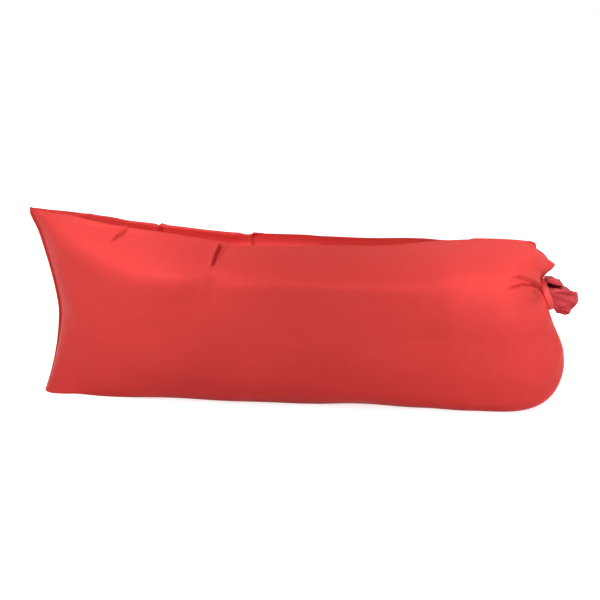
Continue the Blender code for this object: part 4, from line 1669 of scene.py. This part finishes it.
@dataclass(frozen=True)
class ClothFinish:
    """A woven cloth, such as satin shell fabric, webbing or binding."""

    name: str
    color: Vector3
    shade: Vector3
    sheen_tint: Vector3
    roughness: float
    sheen: float
    threads: float
    weave_height: float
    crease_size: float
    crease_height: float
    specular: float = 0.5
    metallic: float = 0.0
    broad_wear: float = 0.35
    fine_wear: float = 0.10
    thread_tone: float = 0.12

    def build(self, effects: Effects) -> bpy.types.Material:
        """Make the material.

        Args:
            effects: the shared node groups.

        Returns:
            The material.
        """
        material, nodes, shader = new_paint(self.name)
        weave = nodes.add("ShaderNodeGroup", {"Threads": self.threads}, node_tree=effects.weave).outputs
        creases = nodes.add("ShaderNodeGroup", {"Size": self.crease_size}, node_tree=effects.creases).outputs
        wear = nodes.add("ShaderNodeGroup", node_tree=effects.wear).outputs
        broad = nodes.times(wear["Broad"], self.broad_wear)
        worn = nodes.plus(broad, nodes.times(wear["Fine"], self.fine_wear))
        worn = nodes.plus(worn, nodes.times(weave["Thread"], self.thread_tone), clamp=True)
        folds = {"Strength": 1.0, "Distance": self.crease_height, "Height": creases["Height"]}
        folded = nodes.add("ShaderNodeBump", folds).outputs["Normal"]
        threads = {"Strength": 1.0, "Distance": self.weave_height, "Height": weave["Height"]}
        threads["Normal"] = folded
        tint = (*self.sheen_tint, 1.0)
        values = {
            "Base Color": nodes.mixed(worn, self.color, self.shade),
            "Roughness": nodes.about(wear["Fine"], self.roughness, 0.10),
            "Normal": nodes.add("ShaderNodeBump", threads).outputs["Normal"],
            "Sheen Weight": self.sheen,
            "Sheen Roughness": 0.4,
            "Sheen Tint": tint,
            "Specular IOR Level": self.specular,
            "Specular Tint": tint,
            "Metallic": self.metallic,
        }
        nodes.feed(shader, values)
        return material


@dataclass(frozen=True)
class MouldedFinish:
    """Moulded plastic, or clear film."""

    name: str
    color: Vector3
    worn: Vector3
    roughness: float
    grain: float
    grain_height: float
    wear_size: float = 40.0

    def build(self, effects: Effects) -> bpy.types.Material:
        """Make the material.

        Args:
            effects: the shared node groups.

        Returns:
            The material.
        """
        material, nodes, shader = new_paint(self.name)
        sizes = {"Broad": self.wear_size, "Fine": self.grain / 4.0}
        wear = nodes.add("ShaderNodeGroup", sizes, node_tree=effects.wear).outputs
        where = nodes.add("ShaderNodeTexCoord").outputs["Object"]
        grain = {"Distance": self.grain_height, "Height": nodes.noise(where, self.grain, 2.0, 0.6)}
        values = {
            "Base Color": nodes.mixed(nodes.times(wear["Broad"], 0.5), self.color, self.worn),
            "Roughness": nodes.about(wear["Fine"], self.roughness, 0.14),
            "Normal": nodes.add("ShaderNodeBump", grain).outputs["Normal"],
        }
        nodes.feed(shader, values)
        return material


@dataclass(frozen=True)
class Softbox:
    """A square area lamp, with its power in watts and its grid's spread in degrees."""

    name: str
    place: Vector3
    aim: Vector3
    size: float
    power: float
    spread: float = 180.0
    glossy: bool = True

    def hang(self) -> None:
        """Add the lamp."""
        data = bpy.data.lights.new(self.name, "AREA")
        data.size, data.energy, data.spread = self.size, self.power, math.radians(self.spread)
        lamp = bpy.data.objects.new(self.name, data)
        lamp.location = self.place
        direction = Vector(self.aim) - Vector(self.place)
        lamp.rotation_euler = direction.to_track_quat("-Z", "Y").to_euler()
        lamp.visible_glossy = self.glossy
        bpy.context.scene.collection.objects.link(lamp)


@dataclass
class Studio:
    """A pale floor, plain soft light and the camera at the photograph's angle."""

    floor_size: float = 30.0
    floor_gap: float = 0.0005
    floor_white: float = 0.82
    floor_lift: float = 0.80
    near_floor: float = 1.1
    far_floor: float = 2.4
    ambient: float = 0.56
    focal: float = 82.56
    distance: float = 4.78
    azimuth: float = math.radians(5.5)
    elevation: float = math.radians(7.68)
    roll: float = math.radians(0.77)
    target: Vector3 = (0.003, 0.0, 0.326)

    def seen_directly(self, nodes: Nodes) -> Socket:
        """Say whether light goes to the camera straight, or by gloss or glass.

        Args:
            nodes: what adds the nodes.

        Returns:
            1 where it does.
        """
        path = nodes.add("ShaderNodeLightPath").outputs
        glossy = nodes.math("MAXIMUM", path["Is Camera Ray"], path["Is Glossy Ray"])
        return nodes.math("MAXIMUM", glossy, path["Is Transmission Ray"])

    def build_floor(self) -> None:
        """Make the floor, which is white where nothing shades it."""
        size = self.floor_size / 2
        corners = np.array([[-size, -size, 0.0], [size, -size, 0.0], [size, size, 0.0], [-size, size, 0.0]])
        corners[:, 2] = -self.floor_gap
        floor = mesh_piece("studio_floor", corners, [(0, 1, 2, 3)], closed=False)
        material, nodes, shader = new_paint("studio_floor_paint")
        where = nodes.add("ShaderNodeNewGeometry").outputs["Position"]
        away = nodes.add("ShaderNodeVectorMath", {0: where}, operation="LENGTH").outputs["Value"]
        lift = nodes.smooth_step(away, ((self.near_floor, self.floor_lift), (self.far_floor, 1.0)))
        values = {
            "Base Color": (self.floor_white,) * 3 + (1.0,),
            "Roughness": 0.9,
            "Specular IOR Level": 0.1,
            "Emission Color": (1.0, 1.0, 1.0, 1.0),
            "Emission Strength": nodes.times(self.seen_directly(nodes), lift),
        }
        nodes.feed(shader, values)
        floor.data.materials.append(material)

    def build_world(self) -> None:
        """Make the world: white behind the object, and even light on it."""
        world = bpy.data.worlds.new("studio_world")
        bpy.context.scene.world = world
        world.use_nodes = True
        nodes = Nodes(world.node_tree)
        strength = nodes.plus(nodes.times(self.seen_directly(nodes), 1.0 - self.ambient), self.ambient)
        nodes.feed(world.node_tree.nodes["Background"], {"Color": (1.0, 1.0, 1.0, 1.0), "Strength": strength})

    def build_camera(self) -> None:
        """Place the camera."""
        data = bpy.data.cameras.new("photo_camera")
        data.sensor_width, data.lens = 36.0, self.focal
        data.clip_start, data.clip_end = 0.05, 100.0
        camera = bpy.data.objects.new("photo_camera", data)
        flat = math.cos(self.elevation)
        across, away = math.sin(self.azimuth) * flat, math.cos(self.azimuth) * flat
        back = Vector((across, -away, math.sin(self.elevation)))
        right = (-back).cross(Vector((0.0, 0.0, 1.0))).normalized()
        up = back.cross(right)
        turned_right = right * math.cos(self.roll) + up * math.sin(self.roll)
        turned_up = up * math.cos(self.roll) - right * math.sin(self.roll)
        axes = Matrix((turned_right, turned_up, back)).transposed()
        camera.matrix_world = Matrix.Translation(Vector(self.target) + back * self.distance) @ axes.to_4x4()
        bpy.context.scene.collection.objects.link(camera)
        bpy.context.scene.camera = camera

    def build(self) -> None:
        """Set up the whole studio."""
        self.build_floor()
        self.build_world()
        for lamp in LAMPS:
            lamp.hang()
        self.build_camera()
        bpy.context.scene.view_settings.view_transform = "Standard"


# The lounger's own curves, folds, finishes and lamps

FAR_LEAVE = (-0.20, 0.60)
FAR_TRIM = Profile((
    (-0.953, 0.0), (-0.72, 0.0), (-0.62, -0.008), (-0.54, -0.0075), (-0.42, -0.004), (-0.27, -0.003),
    (-0.21, 0.002), (-0.15, 0.009), (-0.02, 0.0095), (0.08, 0.005), (0.34, 0.004), (0.42, -0.001),
    (0.50, -0.011), (0.565, -0.014), (0.600, -0.006), (0.68, -0.002), (0.80, 0.0),
))

NEAR_WAVES = ((0.0022, 1.9, 1.3, 0.10), (0.0016, 3.1, -2.2, 0.45), (0.0012, 0.9, 4.1, 0.70))
FAR_WAVES = ((0.0022, 1.7, -1.4, 0.30), (0.0016, 2.8, 2.4, 0.85), (0.0012, 1.1, 3.8, 0.20))

NEAR_CORNER = (
    (0.700, 0.5545), (0.770, 0.5520), (0.784, 0.5450), (0.786, 0.5290), (0.802, 0.5160), (0.824, 0.4980),
    (0.847, 0.4850), (0.838, 0.4640), (0.831, 0.4480), (0.824, 0.4320), (0.816, 0.4180),
)
FAR_CORNER = (
    (0.700, 0.5520), (0.788, 0.5480), (0.796, 0.5430), (0.797, 0.5230), (0.815, 0.5090), (0.834, 0.4880),
    (0.840, 0.4790), (0.834, 0.4620), (0.826, 0.4420), (0.816, 0.4230),
)

NEAR_SWELLINGS = (Swelling(-0.34, 0.46, 0.12, 0.07, 0.010),)
FAR_SWELLINGS = (Swelling(-0.30, 0.45, 0.15, 0.10, 0.008), Swelling(0.40, 0.44, 0.18, 0.10, 0.006))

NEAR_FOLDS = (
    Fold(FoldKind.ROLL, (
        (-0.900, 0.594), (-0.840, 0.560), (-0.780, 0.528), (-0.700, 0.487), (-0.610, 0.445),
        (-0.460, 0.412), (-0.290, 0.405),
    ), 0.0130, 0.055, start_fade=0.2, end_fade=0.12),
    Fold(FoldKind.ROLL, (
        (-0.300, 0.415), (-0.161, 0.412), (0.034, 0.412), (0.228, 0.414), (0.420, 0.418), (0.620, 0.418),
    ), 0.0085, 0.040, start_fade=0.2, end_fade=0.3),
    Fold(FoldKind.TUCK, (
        (-0.572, 0.577), (-0.586, 0.563), (-0.610, 0.545), (-0.628, 0.530),
    ), 0.0110, 0.008, start_fade=0.02, end_fade=0.5),
    Fold(FoldKind.RIDGE, (
        (-0.590, 0.582), (-0.604, 0.569), (-0.624, 0.552),
    ), 0.0070, 0.006, start_fade=0.02, end_fade=0.6),
    Fold(FoldKind.TUCK, (
        (-0.250, 0.535), (-0.256, 0.514), (-0.258, 0.497), (-0.262, 0.468),
    ), 0.0150, 0.010, start_fade=0.02, end_fade=0.3),
    Fold(FoldKind.RIDGE, (
        (-0.224, 0.530), (-0.233, 0.512), (-0.243, 0.492), (-0.256, 0.464),
    ), 0.0080, 0.005, start_fade=0.02, end_fade=0.3),
    Fold(FoldKind.STEP, (
        (-0.262, 0.470), (-0.263, 0.440), (-0.264, 0.405), (-0.267, 0.363), (-0.270, 0.320),
    ), -0.0060, 0.050, start_fade=0.3, end_fade=0.6),
    Fold(FoldKind.STEP, (
        (0.826, 0.402), (0.812, 0.410), (0.800, 0.419), (0.778, 0.436), (0.758, 0.447), (0.739, 0.454),
        (0.713, 0.457), (0.695, 0.456), (0.672, 0.450),
    ), -0.0085, 0.012, start_fade=0.02, end_fade=0.5),
    Fold(FoldKind.VALLEY, (
        (0.826, 0.404), (0.800, 0.421), (0.778, 0.438), (0.758, 0.448), (0.739, 0.455), (0.713, 0.458),
        (0.695, 0.456),
    ), 0.0110, 0.007, start_fade=0.02, end_fade=0.5),
    Fold(FoldKind.VALLEY, (
        (0.800, 0.416), (0.778, 0.428), (0.755, 0.431), (0.732, 0.428), (0.710, 0.421), (0.684, 0.413),
    ), 0.0110, 0.007, start_fade=0.1, end_fade=0.4),
    Fold(FoldKind.STEP, (
        (0.719, 0.462), (0.732, 0.481), (0.747, 0.489), (0.769, 0.494), (0.799, 0.499), (0.830, 0.492),
    ), 0.0045, 0.016, start_fade=0.3, end_fade=0.7),
    Fold(FoldKind.VALLEY, (
        (0.812, 0.408), (0.820, 0.390), (0.828, 0.368), (0.836, 0.345), (0.842, 0.320), (0.846, 0.300),
    ), 0.0110, 0.006, start_fade=0.05, end_fade=0.4),
    Fold(FoldKind.RIDGE, (
        (0.780, 0.414), (0.796, 0.402), (0.810, 0.384), (0.820, 0.360),
    ), 0.0070, 0.010),
    Fold(FoldKind.ROLL, (
        (0.500, 0.535), (0.495, 0.480), (0.503, 0.414), (0.520, 0.330), (0.530, 0.200), (0.535, 0.090),
    ), 0.0080, 0.050, end_fade=0.4),
)

FAR_FOLDS = (
    Fold(FoldKind.STEP, (
        (-0.772, 0.610), (-0.772, 0.570), (-0.774, 0.500),
    ), 0.0060, 0.006, FoldFace.INNER, 0.02),
    Fold(FoldKind.STEP, (
        (-0.520, 0.580), (-0.520, 0.540), (-0.523, 0.470),
    ), 0.0080, 0.006, FoldFace.INNER, 0.02),
    Fold(FoldKind.STEP, (
        (-0.190, 0.540), (-0.190, 0.500), (-0.192, 0.450),
    ), 0.0080, 0.010, FoldFace.INNER, 0.02),
)

SATIN = ClothFinish("red_satin_fabric", (0.680, 0.058, 0.053), (0.620, 0.050, 0.046), (1.0, 0.34, 0.30),
                    0.44, 0.02, 5200.0, 0.00006, 9.0, 0.0016, 0.02, 0.12)
# A darker, pinker copy of the shell satin for the gathered mouth's pleats and hem; its darker colour is
# painted shade.
SHADED_MOUTH_SATIN = ClothFinish("red_satin_painted_shade", (0.560, 0.068, 0.078), (0.500, 0.058, 0.068), (1.0, 0.40, 0.38),
                      0.60, 0.03, 5200.0, 0.00006, 30.0, 0.0012, 0.02)
BINDING = ClothFinish("red_edge_binding", (0.600, 0.044, 0.040), (0.540, 0.038, 0.034), (1.0, 0.34, 0.30),
                      0.45, 0.02, 3600.0, 0.00012, 40.0, 0.0002, 0.02, 0.10)
WEBBING = ClothFinish("red_neck_webbing", (0.900, 0.115, 0.110), (0.800, 0.095, 0.090), (1.0, 0.45, 0.40),
                      0.50, 0.10, 3200.0, 0.00016, 60.0, 0.0002, 0.35)
THREAD = ClothFinish("red_sewing_thread", (0.560, 0.032, 0.028), (0.440, 0.026, 0.022), (1.0, 0.5, 0.45),
                     0.50, 0.10, 9000.0, 0.00005, 120.0, 0.0001)
FILM = MouldedFinish("clear_bladder_film", (0.75, 0.76, 0.78), (0.66, 0.67, 0.70), 0.22, 60.0, 0.0004)
BUCKLE = MouldedFinish("black_moulded_buckle", (0.018, 0.018, 0.019), (0.045, 0.045, 0.047),
                       0.42, 1600.0, 0.00004)

LAMPS = (
    Softbox("light_front", (0.0, -3.2, 3.5), (0.0, 0.0, 0.3), 2.0, 41.0),
    Softbox("light_left", (-1.0, -1.6, 1.4), (-0.45, -0.1, 0.45), 0.5, 0.25, 36.0),
    Softbox("light_upper_left", (-1.3, -1.4, 1.8), (-0.6, 0.0, 0.62), 0.5, 1.4, 42.0),
    Softbox("light_upper_right", (1.2, -0.8, 1.9), (0.88, -0.1, 0.45), 0.6, 1.4, 50.0),
    Softbox("light_middle_right", (1.1, -1.4, 1.5), (0.62, -0.2, 0.45), 0.5, 0.26, 45.0),
    Softbox("light_right", (1.4, -1.9, 0.9), (0.95, -0.2, 0.2), 0.6, 0.6, 45.0),
    Softbox("light_behind", (0.0, 4.2, 1.0), (0.0, 0.0, 0.3), 2.4, 69.0, glossy=False),
)


def dress_buckle(frame: dict[str, object], finish: bpy.types.Material) -> None:
    """Give the two buckle halves their moulded finish.

    Args:
        frame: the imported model.
        finish: the material.
    """
    for name in ("buckle_socket", "buckle_plug"):
        obj = frame["nodes"][name]
        obj.data.materials.clear()
        obj.data.materials.append(finish)
        LOG.info("%s: carried over from the solids", name)


def main() -> None:
    """Build the lounger's pieces in order, then the studio."""
    logging.basicConfig(level=logging.INFO, format="%(name)s: %(message)s")
    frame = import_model()
    effects = Effects(weave_group(), crumple_group(), wear_group())
    fabric, binding = SATIN.build(effects), BINDING.build(effects)
    webbing, thread = WEBBING.build(effects), THREAD.build(effects)
    film, buckle = FILM.build(effects), BUCKLE.build(effects)
    shape = TubeShape()
    far_shape = replace(shape, crest_trim=FAR_TRIM, inner_leave=FAR_LEAVE)
    AirTube(Side.NEAR, shape, NEAR_FOLDS, NEAR_SWELLINGS, NEAR_WAVES, NEAR_CORNER).build(fabric, film)
    AirTube(Side.FAR, far_shape, FAR_FOLDS, FAR_SWELLINGS, FAR_WAVES, FAR_CORNER).build(fabric, film)
    HeadSeam(shape).build(binding, thread)
    TroughSeam(shape).build(binding)
    # The mouth's pleats and hem take the darker copy of the satin, whose darkness is painted shade.
    shaded_mouth_satin = SHADED_MOUTH_SATIN.build(effects)
    GatheredMouth(shape).build(shaded_mouth_satin, shaded_mouth_satin)
    NeckStrap(shape).build(webbing, thread)
    dress_buckle(frame, buckle)
    Studio().build()


if __name__ == "__main__":
    main()
